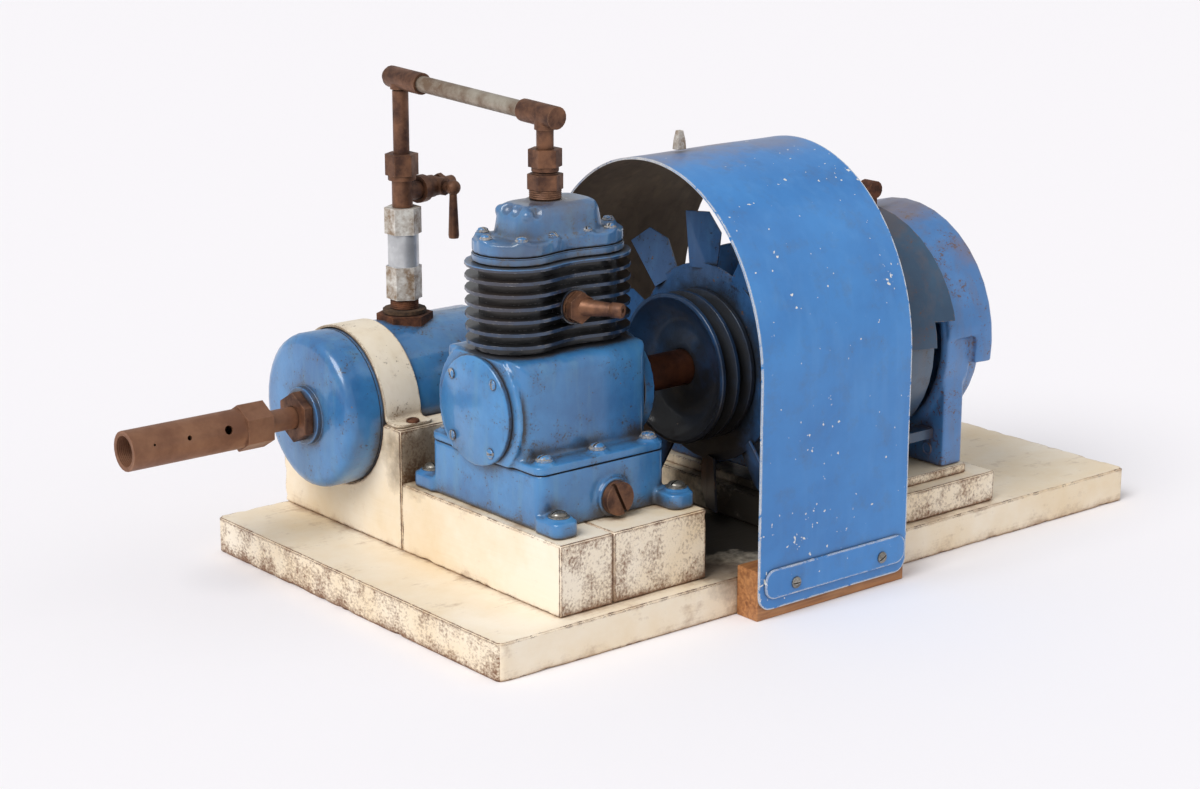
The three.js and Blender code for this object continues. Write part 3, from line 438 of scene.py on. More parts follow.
# enamel over slotted steel screws: blue, with bright metal where a driver has slipped
screwPaintedLook = {
    **castingEnamelLook, "chipFrom": 0.58, "chipSize": 4.17, "chipDark": "#6d5f55", "chipLight": "#c4c1b8",
}
# cast and turned brass left to tarnish: a dark brown skin, dull orange on its corners
brassLook = {"dark": "#4b3126", "mid": "#80583f", "bright": "#a98263", "patch": 18.2, "brightFrom": 0.62,
             "brightness": 0.5, "roughness": 0.5, "metallic": 0.5, "bump": 0.3}
# drawn brass tube browned by heat: an even warm brown
silencerLook = {"dark": "#7a523c", "mid": "#956a4e", "bright": "#a87e5e", "patch": 38.5, "brightFrom": 0.66,
                "brightness": 0.5, "roughness": 0.48, "metallic": 0.35, "bump": 0.12}
# turned steel with a skin of oily rust: deep red-brown, slightly shiny, and darker still as painted shade
sleeveLook = {"dark": "#3a1d12", "mid": "#5f3520", "bright": "#8a5534", "patch": 25, "brightFrom": 0.66,
              "brightness": 0.4, "roughness": 0.42, "metallic": 0.5, "bump": 0.15}
# drawn copper pipe, tinned: grey-white smears with brown copper between them
tinnedLook = {"dark": "#7b6552", "mid": "#b3aa9b", "bright": "#cfc9bc", "patch": 29.4, "brightFrom": 0.6,
              "brightness": 0.6, "roughness": 0.42, "metallic": 0.6, "bump": 0.25}
# steel dipped in zinc: a pale bloom speckled with brown
galvanisedLook = {"dark": "#8a7259", "mid": "#dcd9d1", "bright": "#f1efe9", "patch": 13.3, "brightFrom": 0.55,
                  "brightness": 0.6, "roughness": 0.4, "metallic": 0.25, "bump": 0.35}
# turned zinc alloy: a clean satin grey band
bandLook = {"dark": "#b7b8ba", "mid": "#d4d5d6", "bright": "#ecedee", "patch": 33.3, "brightFrom": 0.6,
            "brightness": 0.5, "roughness": 0.34, "metallic": 0.45, "bump": 0.05}
# forged steel gone to rust: rough, matt red-brown
rustyLook = {"dark": "#3f2418", "mid": "#74452b", "bright": "#9c6a43", "patch": 11.1, "brightFrom": 0.6,
             "brightness": 0.4, "roughness": 0.78, "metallic": 0.2, "bump": 0.8}
# turned steel plated with zinc: dull grey with bright rims
screwLook = {"dark": "#5a544c", "mid": "#98958d", "bright": "#d3cfc6", "patch": 8.33, "brightFrom": 0.55,
             "brightness": 0.6, "roughness": 0.36, "metallic": 0.8, "bump": 0.25}
# turned steel: smooth bright grey
steelLook = {"dark": "#6d6f72", "mid": "#9a9c9f", "bright": "#c8cacc", "patch": 16.7, "brightFrom": 0.6,
             "brightness": 0.5, "roughness": 0.34, "metallic": 0.95, "bump": 0.1}
# cast aluminium: pale grey, slightly grainy
alloyLook = {"dark": "#8d8f91", "mid": "#b2b4b6", "bright": "#d0d2d3", "patch": 25, "brightFrom": 0.6,
             "brightness": 0.4, "roughness": 0.45, "metallic": 0.9, "bump": 0.25}
# stacked sheets of soft iron: dull dark grey
ironLook = {"dark": "#2d2f32", "mid": "#4c4f53", "bright": "#6b6e71", "patch": 16.7, "brightFrom": 0.62,
            "brightness": 0.4, "roughness": 0.6, "metallic": 0.6, "bump": 0.3}
# pressed fibre: matt brown with a rough edge
gasketLook = {"dark": "#32241a", "mid": "#5e452f", "bright": "#7a5e42", "patch": 9.09, "brightFrom": 0.6,
              "brightness": 0.3, "roughness": 0.85, "metallic": 0.0, "bump": 0.9}
# under the fan the wood is black with oil and with painted shade
underFanOilAndShade = [((332, 105, 50), 140, 0.97, oilAndShade), ((262, 20, 34), 44, 0.7, "#4a3020")]
# oil paint on planed softwood: yellowed cream, ridged by the grain, brown dirt along its edges, black under
# the fan with oil and painted shade
boardLook = {
    "fresh": "#f8ecd8", "yellowed": "#ecd5b0", "grain": (0.05, 1.0, 1.0), "edgeWidth": 4, "grainDirt": 0.3,
    "edgeDirt": 0.24, "soilAndShadeFrom": 0.73, "soilAndShade": 0.7, "dirtAndShadeColour": "#93683f", "edgeChips": 0.26,
    "chipFrom": 0.765, "bare": "#57301f", "bump": 0.4, "roughness": 0.46, "stainsAndShade": underFanOilAndShade,
    "grainGap": 3.85, "soilAndShadeFade": 0.3,
}
# the same on the board's sawn ends, whose open grain holds the dirt
boardEndLook = {
    **boardLook, "grain": (1.0, 0.55, 0.8), "grainDirt": 0.8, "soilAndShadeFrom": 0.855, "soilAndShade": 0.95,
    "soilAndShadeFade": 0.28, "dirtAndShadeColour": "#744a2a", "bump": 0.7, "grainGap": 1.785,
}
# the same on the blocks, which were handled and dripped on, and black under the fan with oil and painted
# shade
blockLook = {
    **boardLook, "grain": (1.0, 0.05, 1.0), "edgeDirt": 0.28, "soilAndShadeFrom": 0.79,
    "stainsAndShade": underFanOilAndShade + [((98, 238, 120), 50, 0.75, "#4f3722"), ((226, 60, 104), 34, 0.45, "#7a4a34")],
}
# the blocks' sawn ends, dirtier still
blockEndLook = {
    **blockLook, "grain": (0.7, 1.0, 0.6), "grainDirt": 0.8, "soilAndShadeFrom": 0.87, "soilAndShade": 0.92, "soilAndShadeFade": 0.28,
    "dirtAndShadeColour": "#744826", "bump": 0.7, "grainGap": 1.667,
}
# varnish on sawn softwood: warm amber with dark growth lines
timberLook = {"light": "#b57c4b", "line": "#7d4b2a", "pale": "#cf9c68"}

# every finish, named for the real material, how its surface was made, and any painted shade
finishes = {
    "sheetEnamel": paintedMetal("blueEnamelOnSheet", guardLookOutside),
    "headEnamel": paintedMetal("oilyEnamelOnHead", headEnamelLook),
    "shellEnamel": paintedMetal("greyedEnamelOnShell", shellEnamelLook),
    "castingEnamel": paintedMetal("blueEnamelOnCasting", castingEnamelLook),
    "finEnamel": paintedMetal("sootyEnamelOnFins", finEnamelLook),
    "wheelEnamel": paintedMetal("darkEnamelOnPulleyInPaintedShade", wheelEnamelLook),
    "motorEnamel": paintedMetal("rustMarkedEnamelOnMotor", motorEnamelLook),
    "fanEnamel": paintedMetal("dustyEnamelOnFanInPaintedShade", fanEnamelLook),
    "cowlEnamelInPaintedShade": paintedMetal("enamelOnCowlInPaintedShade", cowlPaintedShadeLook),
    "screwPainted": paintedMetal("enamelOverScrew", screwPaintedLook),
    "bareInside": paintedMetal("primedSheetInside", bareInsideLook),
    "strapPaint": paintedMetal("creamPaintOnSteel", strapLook),
    "silencer": brownMetal("brownedBrassTube", silencerLook),
    "sleeve": brownMetal("turnedSteelSleeveInPaintedShade", sleeveLook),
    "band": brownMetal("satinAlloyBand", bandLook),
    "brass": brownMetal("tarnishedBrass", brassLook),
    "tinned": brownMetal("tinnedCopperPipe", tinnedLook),
    "galvanised": brownMetal("galvanisedSteel", galvanisedLook),
    "rusty": brownMetal("rustedSteel", rustyLook),
    "screw": brownMetal("zincPlatedScrew", screwLook),
    "steel": brownMetal("turnedSteel", steelLook),
    "alloy": brownMetal("castAluminium", alloyLook),
    "iron": brownMetal("laminatedIron", ironLook),
    "gasket": brownMetal("fibreGasket", gasketLook),
    "board": paintedWood("creamPaintOnBoard", boardLook),
    "boardEnd": paintedWood("creamPaintOnBoardEnd", boardEndLook),
    "block": paintedWood("creamPaintOnBlock", blockLook),
    "blockEnd": paintedWood("creamPaintOnBlockEnd", blockEndLook),
    "timber": sawnTimber("varnishedSoftwood", timberLook),
}
print("materials made", len(finishes))

floorMesh = bpy.data.meshes.new("studioFloor")
floorMesh.from_pydata([(-30, -30, 0), (30, -30, 0), (30, 30, 0), (-30, 30, 0)], [], [(0, 1, 2, 3)])
floor = bpy.data.objects.new("studioFloor", floorMesh)
floor.data.materials.append(floorPaper("whiteBackdropPaper"))
bpy.context.scene.collection.objects.link(floor)


def cleanCopy(node):
    # the CAD piece as a welded mesh with whole faces in place of triangles
    bm = bmesh.new()
    bm.from_mesh(frame["nodes"][node].data)
    bmesh.ops.remove_doubles(bm, verts=bm.verts, dist=0.00001)
    bmesh.ops.dissolve_limit(bm, angle_limit=math.radians(0.8), verts=bm.verts, edges=bm.edges)
    return bm


def finishPiece(name, bm, finishNames, body, replaces=(), sharp=40):
    # makes the object; edges that turn more than sharp degrees stay hard
    mesh = bpy.data.meshes.new(name)
    bmesh.ops.recalc_face_normals(bm, faces=bm.faces)
    for face in bm.faces:
        face.smooth = True
    for edge in bm.edges:
        edge.smooth = len(edge.link_faces) == 2 and edge.calc_face_angle(0) < math.radians(sharp)
    bm.to_mesh(mesh)
    bm.free()
    for finishName in finishNames:
        mesh.materials.append(finishes[finishName])
    piece = bpy.data.objects.new(name, mesh)
    bpy.context.scene.collection.objects.link(piece)
    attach(piece, body)
    if replaces:
        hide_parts(*replaces)
    return piece


def soften(piece, width):
    # a small round on every edge, so that corners catch light
    bevel = piece.modifiers.new("edgeRound", "BEVEL")
    bevel.width = width * mm
    bevel.segments = 2
    bevel.limit_method = "ANGLE"
    bevel.angle_limit = math.radians(40)
    bevel.harden_normals = True
    bevel.use_clamp_overlap = True
    return piece


bodyOf = {node: body for body, members in frame["record"]["behaviour"]["bodies"].items() for node in members}


def turnedSolid(profile, sides=48):
    # a solid of revolution about +Z; the profile is [along, radius] in millimetres, from axis to axis
    bm = bmesh.new()
    rings = []
    for along, radius in profile:
        if radius == 0:
            rings.append([bm.verts.new((0, 0, along * mm))])
            continue
        angles = [2 * math.pi * i / sides for i in range(sides)]
        rings.append([bm.verts.new((radius * mm * math.cos(a), radius * mm * math.sin(a), along * mm))
                      for a in angles])
    for low, high in zip(rings, rings[1:]):
        for i in range(sides):
            j = (i + 1) % sides
            if len(low) == 1 and len(high) > 1:
                bm.faces.new((low[0], high[i], high[j]))
            elif len(high) == 1 and len(low) > 1:
                bm.faces.new((low[i], low[j], high[0]))
            elif len(low) > 1:
                bm.faces.new((low[i], low[j], high[j], high[i]))
    return bm


def turnedRing(profile, sides=64):
    # a ring about +Z whose profile closes on itself
    bm = bmesh.new()
    rings = []
    for along, radius in profile:
        angles = [2 * math.pi * i / sides for i in range(sides)]
        rings.append([bm.verts.new((radius * mm * math.cos(a), radius * mm * math.sin(a), along * mm))
                      for a in angles])
    for low, high in zip(rings, rings[1:] + rings[:1]):
        for i in range(sides):
            j = (i + 1) % sides
            bm.faces.new((low[i], low[j], high[j], high[i]))
    return bm


def moved(bm, place, direction=(0, 0, 1), roll=0.0):
    # turns what was made along +Z to a direction, then puts it in place
    turn = Vector(direction).to_track_quat("Z", "Y").to_matrix().to_4x4()
    matrix = Matrix.Translation(place) @ turn @ Matrix.Rotation(roll, 4, "Z")
    bmesh.ops.transform(bm, matrix=matrix, verts=bm.verts)
    return bm


def gathered(parts):
    # several meshes as one
    whole = bmesh.new()
    for bm in parts:
        mesh = bpy.data.meshes.new("part")
        bm.to_mesh(mesh)
        bm.free()
        whole.from_mesh(mesh)
        bpy.data.meshes.remove(mesh)
    return whole


def slottedHead(radius, height, slot, depth, washer):
    # a screw head cut by a straight slot: two half domes on a disc, and a washer under it if asked
    halves = []
    for side in (-1, 1):
        dome = [[depth, 0.0], [depth, radius]]
        for k in range(1, 6):
            lift = k / 5 * math.pi / 2
            out = radius * math.cos(lift) if k < 5 else 0.0
            dome.append([depth + (height - depth) * math.sin(lift), out])
        half = turnedSolid(dome, 28)
        cut = bmesh.ops.bisect_plane(half, geom=half.verts[:] + half.edges[:] + half.faces[:],
                                     plane_co=(side * slot / 2 * mm, 0, 0), plane_no=(side, 0, 0),
                                     clear_inner=True)
        rim = [e for e in cut["geom_cut"] if isinstance(e, bmesh.types.BMEdge)]
        bmesh.ops.holes_fill(half, edges=rim)
        halves.append(half)
    base = turnedSolid([[-0.5, 0], [-0.5, radius], [depth + 0.02, radius], [depth + 0.02, 0]], 28)
    parts = halves + [base]
    if washer:
        rim = [[-0.5, 0], [-0.5, washer], [0.6, washer], [1.1, washer - 0.6], [1.1, 0]]
        parts.append(turnedSolid(rim, 28))
    return gathered(parts)


def bentSheet(path, x0, x1, thickness, cornerRound, columns, wave):
    # sheet metal bent along a path of (y, z) points, its first corners rounded, with a little unevenness
    bm = bmesh.new()
    rows = []
    travelled = 0.0
    for i, (y, z) in enumerate(path):
        before, after = path[max(i - 1, 0)], path[min(i + 1, len(path) - 1)]
        if i:
            travelled += math.hypot(y - before[0], z - before[1])
        dy, dz = after[0] - before[0], after[1] - before[1]
        size = math.hypot(dy, dz)
        ny, nz = -dz / size, dy / size
        inset = 0.0
        if travelled < cornerRound:
            inset = cornerRound - math.sqrt(cornerRound ** 2 - (cornerRound - travelled) ** 2)
        row = []
        for side in (0.5, -0.5):
            for j in range(columns + 1):
                x = x0 + inset + (x1 - x0 - 2 * inset) * j / columns
                off = thickness * side + wave * noise.noise(Vector((x, y, z)) * 0.012)
                row.append(bm.verts.new(at(x, y + ny * off, z + nz * off)))
        rows.append(row)
    wide = columns + 1
    for low, high in zip(rows, rows[1:]):
        for j in range(columns):
            bm.faces.new((low[j], low[j + 1], high[j + 1], high[j]))
            bm.faces.new((low[wide + j + 1], low[wide + j], high[wide + j], high[wide + j + 1]))
        bm.faces.new((low[0], high[0], high[wide], low[wide]))
        bm.faces.new((low[columns], low[wide + columns], high[wide + columns], high[columns]))
    for row in (rows[0], rows[-1]):
        for j in range(columns):
            bm.faces.new((row[j], row[j + 1], row[wide + j + 1], row[wide + j]))
    return bm


def evaluatedMesh(piece):
    graph = bpy.context.evaluated_depsgraph_get()
    return bpy.data.meshes.new_from_object(piece.evaluated_get(graph))


def remeshed(bm, voxel, smoothing, cutters=()):
    # joins overlapping solids into one skin and rounds every corner, as a sand casting's are
    mesh = bpy.data.meshes.new("rough")
    bmesh.ops.recalc_face_normals(bm, faces=bm.faces)
    bm.to_mesh(mesh)
    bm.free()
    rough = bpy.data.objects.new("rough", mesh)
    bpy.context.scene.collection.objects.link(rough)
    skin = rough.modifiers.new("skin", "REMESH")
    skin.mode = "VOXEL"
    skin.voxel_size = voxel * mm
    knives = []
    for knife in cutters:
        knifeMesh = bpy.data.meshes.new("knife")
        knife.to_mesh(knifeMesh)
        knife.free()
        cutter = bpy.data.objects.new("knife", knifeMesh)
        bpy.context.scene.collection.objects.link(cutter)
        cut = rough.modifiers.new("cut", "BOOLEAN")
        cut.operation = "DIFFERENCE"
        cut.object = cutter
        knives.append(cutter)
    if knives:
        again = rough.modifiers.new("skinAgain", "REMESH")
        again.mode = "VOXEL"
        again.voxel_size = voxel * mm
    if smoothing:
        smooth = rough.modifiers.new("soften", "SMOOTH")
        smooth.factor = 0.5
        smooth.iterations = smoothing
    result = evaluatedMesh(rough)
    for extra in [rough] + knives:
        bpy.data.objects.remove(extra)
    smoothed = bmesh.new()
    smoothed.from_mesh(result)
    bpy.data.meshes.remove(result)
    return smoothed


def wornWood(node, finishNames, look):
    # sawn timber knocked about: a small round on each edge, nicked here and there
    low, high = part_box(node)
    bm = cleanCopy(node)
    corners = [e for e in bm.edges if len(e.link_faces) == 2 and e.calc_face_angle() > math.radians(50)]
    bmesh.ops.bevel(bm, geom=corners, offset=look["round"] * mm, segments=3, affect="EDGES",
                    clamp_overlap=True)
    for axis in range(3):
        steps = int((high[axis] - low[axis]) / mm / look["grid"])
        normal = Vector([float(k == axis) for k in range(3)])
        for step in range(1, steps):
            place = low + normal * (step / steps * (high[axis] - low[axis]))
            bmesh.ops.bisect_plane(bm, geom=bm.verts[:] + bm.edges[:] + bm.faces[:], plane_co=place,
                                   plane_no=normal, dist=1e-6)
    middle = (low + high) / 2
    for vert in bm.verts:
        gaps = [min(vert.co[k] - low[k], high[k] - vert.co[k]) / mm for k in range(3)]
        near = sorted(gaps)[1]
        knock = max(0.0, noise.fractal(vert.co * 75, 0.8, 2.2, 3) - 0.12)
        bite = look["wear"] * knock * max(0.0, 1 - near / look["reach"])
        for k in range(3):
            if gaps[k] < look["reach"]:
                vert.co[k] += bite * mm * (1 if vert.co[k] < middle[k] else -1)
    for face in bm.faces:
        face.material_index = 1 if abs(face.normal[look["endAxis"]]) > 0.75 else 0
    return finishPiece(node + "_worn", bm, finishNames, bodyOf[node], [node], sharp=50)


# in millimetres: the mesh's spacing, the edges' round, how deep nicks go and how far in;
# the sawn ends face along endAxis
woodLook = {"grid": 6, "round": 1.4, "wear": 2.4, "reach": 3.2, "endAxis": 1}
boardWear = {**woodLook, "endAxis": 0}
wornWood("baseboard", ["board", "boardEnd"], boardWear)
for blockName in ("receiver_block", "compressor_batten_left", "compressor_batten_right", "motor_riser"):
    wornWood(blockName, ["block", "blockEnd"], woodLook)
wornWood("motor_packer", ["block", "blockEnd"], {**woodLook, "round": 0.8, "wear": 1.2})
print("wood made")


def guardPath(look):
    # up the front leg, over a half ellipse and down the back leg, whose foot stands on the board at 36 mm
    frontY, backY = look["axis"] - look["half"], look["axis"] + look["half"]
    points = [(frontY, look["foot"] + step) for step in (0, 0.6, 1.8, 4, 7, 10, 13)]
    points += [(frontY, 28 + k * 17) for k in range(11)]
    for k in range(73):
        angle = math.pi - math.pi * k / 72
        points.append((look["axis"] + look["half"] * math.cos(angle),
                       look["spring"] + look["rise"] * math.sin(angle)))
    return points + [(backY, 198 - k * 18) for k in range(9)] + [(backY, 36)]


# the arch's middle, half width, spring line and rise, then its foot, edges along the shaft, sheet, corner
# round and how far it wavers, all in millimetres
guardShape = {
    "axis": 127, "half": 155, "spring": 215, "rise": 174, "foot": 9.5, "low": 262, "high": 444, "sheet": 2.0,
    "corner": 13, "wave": 0.8,
}
guardSheet = bentSheet(guardPath(guardShape), guardShape["low"], guardShape["high"], guardShape["sheet"],
                       guardShape["corner"], 26, guardShape["wave"])
bmesh.ops.recalc_face_normals(guardSheet, faces=guardSheet.faces)
arcCentre = at(353, guardShape["axis"], guardShape["spring"])
for face in guardSheet.faces:
    middle = face.calc_center_median()
    away = Vector((0, middle.y - arcCentre.y, max(0.0, middle.z - arcCentre.z)))
    # the inside was only primed
    if away.length and face.normal.dot(away.normalized()) < -0.5:
        face.material_index = 1
finishPiece("guard_sheet", guardSheet, ["sheetEnamel", "bareInside"], "stand",
            ["fan_guard"])


def strapPath(radius, reach):
    # a foot on the block, a small bend up, round the tank, and the same again on its far side
    half = [(tankAxis.y - reach + k * (reach - radius - 5.5) / 4, 148.7) for k in range(5)]
    for k in range(1, 6):
        angle = -math.pi / 2 + k / 5 * math.pi / 2
        half.append((tankAxis.y - radius - 5.4 + 5.4 * math.cos(angle), 154.1 + 5.4 * math.sin(angle)))
    arc = []
    for k in range(1, 60):
        angle = math.pi - 0.075 - (math.pi - 0.15) * k / 60
        arc.append((tankAxis.y + radius * math.cos(angle), tankAxis.z + radius * math.sin(angle)))
    return half + arc + [(2 * tankAxis.y - y, z) for y, z in reversed(half)]


tankLow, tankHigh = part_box("receiver_cap")
tankAxis = Vector((42, ((tankLow.y + tankHigh.y) / 2 - boardLow.y) / mm, (tankLow.z + tankHigh.z) / 2 / mm))
# the strap's radius, half its width across the feet, edges along the tank, sheet, corner round and waver
strapShape = {"radius": 73.7, "reach": 95, "low": 79, "high": 118, "sheet": 2.5, "corner": 5, "wave": 0.5}
strapSheet = bentSheet(strapPath(strapShape["radius"], strapShape["reach"]), strapShape["low"],
                       strapShape["high"], strapShape["sheet"], strapShape["corner"], 8, strapShape["wave"])
strap = finishPiece("receiver_strap_bent", strapSheet, ["strapPaint"], "stand",
                    ["receiver_strap"])
soften(strap, 0.5)
print("sheet pieces made")


def discAt(radius, low, high, place):
    return moved(turnedSolid([[low, 0], [low, radius], [high, radius], [high, 0]], 32), place)


def ballAt(radius, place):
    profile = [[-radius * math.cos(k / 12 * math.pi), radius * math.sin(k / 12 * math.pi)] for k in range(13)]
    profile[0][1] = profile[-1][1] = 0
    return moved(turnedSolid(profile, 24), place)


# where the screws of the sump, the crankcase's flange and the head stand, and each casting's bosses for them
lugs = [(96, 42), (229, 44), (96, 224), (229, 222)]
flangeBolts = [(98, 64), (156, 64), (213, 64), (98, 200), (156, 200), (213, 200)]
headScrews = [(90, 132), (107, 105), (140, 105), (178, 106), (203, 104), (224, 132), (107, 159), (140, 159),
              (178, 158), (203, 160)]
bosses = {
    # casting: radius, from, to, places
    "sump_cast": (11, 100, 114, lugs), "crankcase_cast": (8.5, 148, 158, flangeBolts),
    "cylinder_head_cast": (7, 330, 339.4, headScrews),
}
# each near shoulder of the head's dome has a knob, with a thumb-sized hollow either side of it
scoop = {"radius": 7, "places": [(115, 126, 362.5), (126, 108, 362.5), (115, 138, 362.5), (126, 156, 362.5)]}
knob = {"radius": 5.8, "places": [(120.5, 114, 357), (120.5, 150, 357)]}

# the skin's voxel in millimetres and its smoothing passes set how soft a casting's corners are
castings = {
    "sump_cast": {"finish": "castingEnamel", "voxel": 1.5, "smoothing": 5, "nodes": ["sump"]},
    "crankcase_cast": {"finish": "castingEnamel", "voxel": 1.5, "smoothing": 6, "nodes": ["crankcase"]},
    "cylinder_head_cast": {"finish": "headEnamel", "voxel": 1.2, "smoothing": 3, "nodes": ["cylinder_head"]},
    "rear_bell_cast": {"finish": "motorEnamel", "voxel": 1.7, "smoothing": 3,
                       "nodes": ["rear_bell", "drip_hood"]},
    "front_bell_cast": {"finish": "motorEnamel", "voxel": 1.9, "smoothing": 3, "nodes": ["front_bell"]},
}


def hoodSwelling():
    # a swelling on the bell's sides carries the hood's line down into it
    ring = turnedRing([[-1, 100], [-1, 108], [32, 108.5], [32, 100]], 96)
    swelling = moved(ring, at(550, shaftY, shaftZ), (1, 0, 0))
    bmesh.ops.bisect_plane(swelling, geom=swelling.verts[:] + swelling.edges[:] + swelling.faces[:],
                           plane_co=at(0, 0, 201), plane_no=(0, 0, 1), clear_outer=True)
    bmesh.ops.holes_fill(swelling, edges=[e for e in swelling.edges if e.is_boundary])
    return swelling


for name, cast in castings.items():
    solids = [cleanCopy(node) for node in cast["nodes"]]
    if name in bosses:
        radius, low, high, places = bosses[name]
        solids += [discAt(radius, low, high, at(x, y, 0)) for x, y in places]
    if name == "rear_bell_cast":
        solids.append(hoodSwelling())
    hollows = []
    if name == "cylinder_head_cast":
        hollows = [ballAt(scoop["radius"], at(*place)) for place in scoop["places"]]
    skin = remeshed(gathered(solids), cast["voxel"], cast["smoothing"], hollows)
    if name == "cylinder_head_cast":
        knobs = [ballAt(knob["radius"], at(*place)) for place in knob["places"]]
        skin = remeshed(gathered([skin] + knobs), cast["voxel"], cast["smoothing"])
    finishPiece(name, skin, [cast["finish"]], "stand", cast["nodes"], 180)
print("castings made")


# every other solid: its finish and the round on its edges in millimetres
plainPieces = {
    "guard_strip": ("sheetEnamel", 0.7), "guard_clip": ("galvanised", 0.6),
    "receiver_body": ("castingEnamel", 1.0), "receiver_cap": ("castingEnamel", 1.0),
    "hex_bush": ("brass", 0.6), "silencer_nipple": ("silencer", 0.4), "silencer_tube": ("silencer", 0.5),
    "port_gasket": ("gasket", 0.6), "check_valve": ("galvanised", 0.7), "check_poppet": ("steel", 0.3),
    "brass_tee": ("brass", 0.5), "cock_body": ("brass", 0.6), "cock_lever": ("brass", 0.5),
    "riser_nut": ("brass", 0.7), "riser_pipe": ("brass", 0.3), "rear_tee": ("brass", 0.8),
    "cross_pipe": ("tinned", 0.3), "front_tee": ("brass", 0.8), "drop_nut": ("brass", 0.7),
    "head_adapter": ("brass", 0.6), "drain_plug": ("brass", 0.7), "end_cover": ("castingEnamel", 1.0),
    "bearing_housing": ("castingEnamel", 1.2), "front_bearing": ("steel", 0.4),
    "rear_bearing": ("steel", 0.4), "crankshaft": ("steel", 0.5), "connecting_rod_a": ("alloy", 0.5),
    "connecting_rod_b": ("alloy", 0.5), "piston_a": ("alloy", 0.3), "piston_b": ("alloy", 0.3),
    "cylinder_block": ("finEnamel", 0.8), "head_gasket": ("headEnamel", 0.2),
    "inlet_nozzle": ("brass", 0.6), "shaft_sleeve": ("sleeve", 0.6), "pulley": ("wheelEnamel", 0.8),
    "fan": ("fanEnamel", 0.4), "shaft_coupling": ("steel", 0.6), "motor_shaft": ("steel", 0.4),
    "rotor": ("iron", 0.5), "stator": ("iron", 0.8), "motor_shell": ("shellEnamel", 0.8),
    # the deflector and the cradle wear the cowl's enamel, darkened as painted shade
    "air_deflector": ("cowlEnamelInPaintedShade", 0.5), "lifting_lug": ("rusty", 0.8),
    "motor_cradle": ("cowlEnamelInPaintedShade", 0.8), "guard_batten": ("timber", 1.0), "guard_cleat": ("timber", 1.0),
}
# a second finish above a height, in millimetres, and within a reach of the riser: the port's hexagon lost its
# paint to rust, and the cylinders' top plate, at any reach, kept the head's
twoFinishes = {
    "receiver_body": ("rusty", 218, 27.5),
    "cylinder_block": ("headEnamel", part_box("head_gasket")[0].z / mm - 8, math.inf),
}
# the check valve's turned middle was left bare: its radius and heights
valveBand = {"radius": 15, "low": 262, "high": 300}


def fromRiser(face):
    # how far the middle of a face is from the riser's axis, and its height
    middle = face.calc_center_median() - at(riserX, riserY, 0)
    return math.hypot(middle.x, middle.y), middle.z


for node, (finishName, width) in plainPieces.items():
    bm = cleanCopy(node)
    names = [finishName]
    if node in twoFinishes:
        secondFinish, level, reach = twoFinishes[node]
        names.append(secondFinish)
        bmesh.ops.bisect_plane(bm, geom=bm.verts[:] + bm.edges[:] + bm.faces[:], plane_co=(0, 0, level * mm),
                               plane_no=(0, 0, 1), dist=1e-6)
        for face in bm.faces:
            away, height = fromRiser(face)
            face.material_index = 1 if height > level * mm and away < reach * mm else 0
    if node == "check_valve":
        names.append("band")
        for face in bm.faces:
            away, height = fromRiser(face)
            inBand = valveBand["low"] * mm < height < valveBand["high"] * mm
            if inBand and away < valveBand["radius"] * mm:
                face.material_index = 1
    soften(finishPiece(node + "_detail", bm, names, bodyOf[node], [node]), width)
print("pieces made", len(plainPieces))


def ringOf(x, radius, degrees):
    # places on a circle about the shaft
    angles = [math.radians(d) for d in degrees]
    return [(x, shaftY + radius * math.cos(a), shaftZ + radius * math.sin(a)) for a in angles]


screwSets = {
    # name: finish, head radius, height, slot width, slot depth, washer radius, direction, places
    "sump_bolts": ("screw", 7.2, 5.2, 2.0, 2.6, 9.4, (0, 0, 1), [(x, y, 114) for x, y in lugs]),
    "flange_bolts": ("screwPainted", 6.2, 4.6, 1.8, 2.4, 7.6, (0, 0, 1),
                     [(x, y, 158) for x, y in flangeBolts]),
    "head_bolts": ("screwPainted", 4.6, 3.8, 1.5, 1.8, 5.6, (0, 0, 1),
                   [(x, y, 339.2) for x, y in headScrews]),
    "cover_screws": ("screwPainted", 4.4, 2.6, 1.5, 1.2, 0, (-1, 0, 0),
                     ringOf(74.2, 41, (42, 135, 233, 317))),
    "housing_screws": ("screwPainted", 4.4, 2.8, 1.5, 1.2, 0, (1, 0, 0),
                       ringOf(237.8, 42, range(30, 390, 60))),
    "strap_screws": ("rusty", 6.0, 3.6, 1.6, 1.6, 0, (0, 0, 1), [(98.5, 257, 149.9), (98.5, 435, 149.9)]),
    "guard_screws": ("screw", 5.2, 2.6, 1.5, 1.2, 0, (0, -1, 0), [(304, -31.4, 29), (411, -31.4, 29)]),
    "cap_screws": ("screwPainted", 5.0, 3.4, 1.5, 1.5, 0, (1, 0, 0), ringOf(600, 78, range(45, 405, 90))),
}
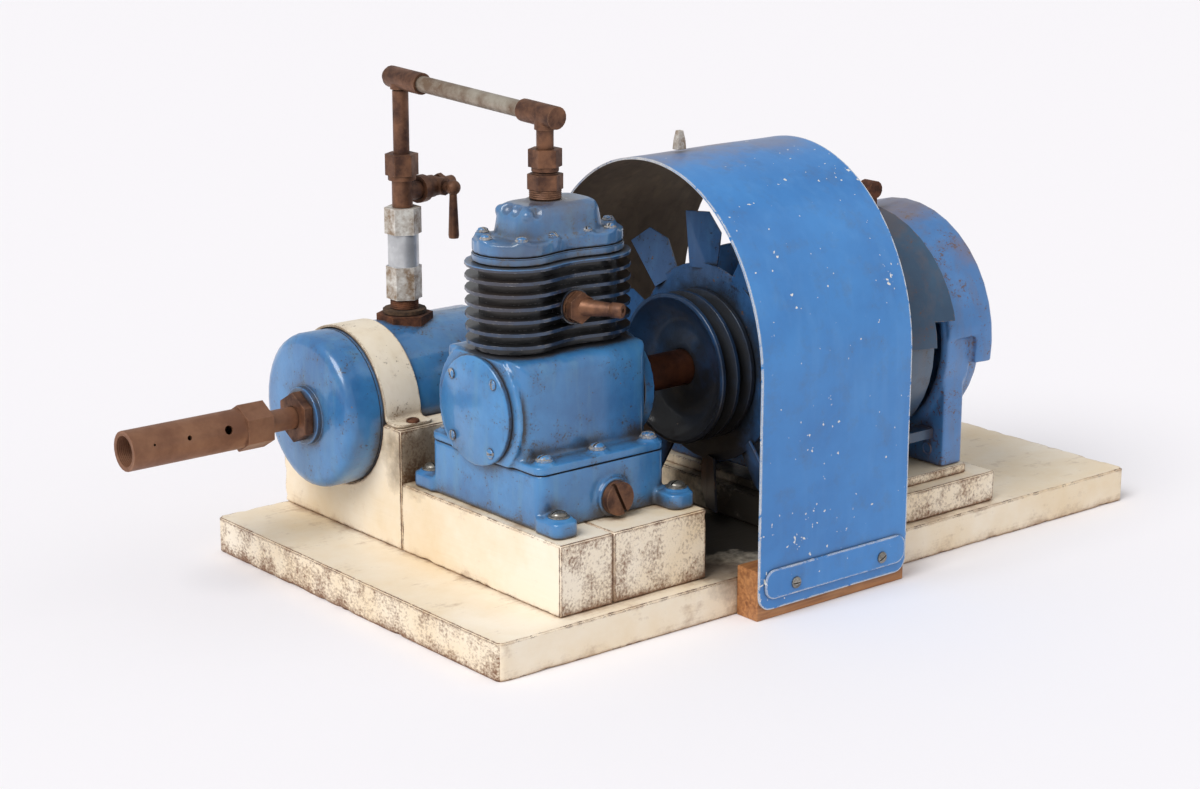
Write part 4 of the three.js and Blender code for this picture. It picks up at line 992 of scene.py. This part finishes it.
for name, (finishName, radius, height, slot, depth, washer, direction, places) in screwSets.items():
    heads = [moved(slottedHead(radius, height, slot, depth, washer), at(*place), direction,
                   random.uniform(0, math.pi)) for place in places]
    finishPiece(name, gathered(heads), [finishName], "stand")


def threadRing(inner, outer, low, high, pitch, outside):
    # ridges one pitch apart on the inside or outside of a ring
    flat, ridge = (inner, outer) if outside else (outer, inner)
    profile = [[high, flat], [low, flat]]
    turns = int((high - low) / pitch)
    for k in range(turns):
        profile += [[low + k * pitch, (flat + ridge * 3) / 4], [low + (k + 0.5) * pitch, ridge]]
    profile.append([high, (flat + ridge * 3) / 4])
    return turnedRing(profile, 40)


threads = {
    # name: finish, slot, inner and outer radius, from, to, pitch, outside, place, direction
    "silencer_thread": ("silencer", "tarnished_brass", 13.9, 15.2, -1, 32, 1.8, False, (-145, riserY, 147),
                        (1, 0, 0)),
    "adapter_thread": ("brass", "tarnished_brass", 12.2, 14.2, 366.8, 374.3, 1.8, True, (riserX, shaftY, 0),
                       (0, 0, 1)),
    "valve_thread": ("rusty", "rusty_steel", 11.8, 13.4, 231.6, 241, 1.8, True, (riserX, riserY, 0),
                     (0, 0, 1)),
}
for name, thread in threads.items():
    finishName, slotName, inner, outer, low, high, pitch, outside, place, direction = thread
    ridges = moved(threadRing(inner, outer, low, high, pitch, outside), at(*place), direction)
    finishPiece(name, ridges, [finishName], "stand", sharp=25)

# cast rings on the motor's foot and a bearing cap on its far end
footRing = moved(turnedRing([[0, 4.6], [0.9, 4.9], [0.9, 5.8], [0, 6.1]], 32), at(550.8, 48, 88), (-1, 0, 0))
finishPiece("foot_ring", footRing, ["motorEnamel"], "stand")
capProfile = [[-1, 0], [-1, 30], [1.5, 30], [3, 28], [3.4, 18], [6, 16], [6.6, 12], [6.6, 0]]
bearingCap = moved(turnedSolid(capProfile), at(600, shaftY, shaftZ), (1, 0, 0))
finishPiece("bearing_cap", bearingCap, ["motorEnamel"], "stand", sharp=50)
print("screws and threads made")
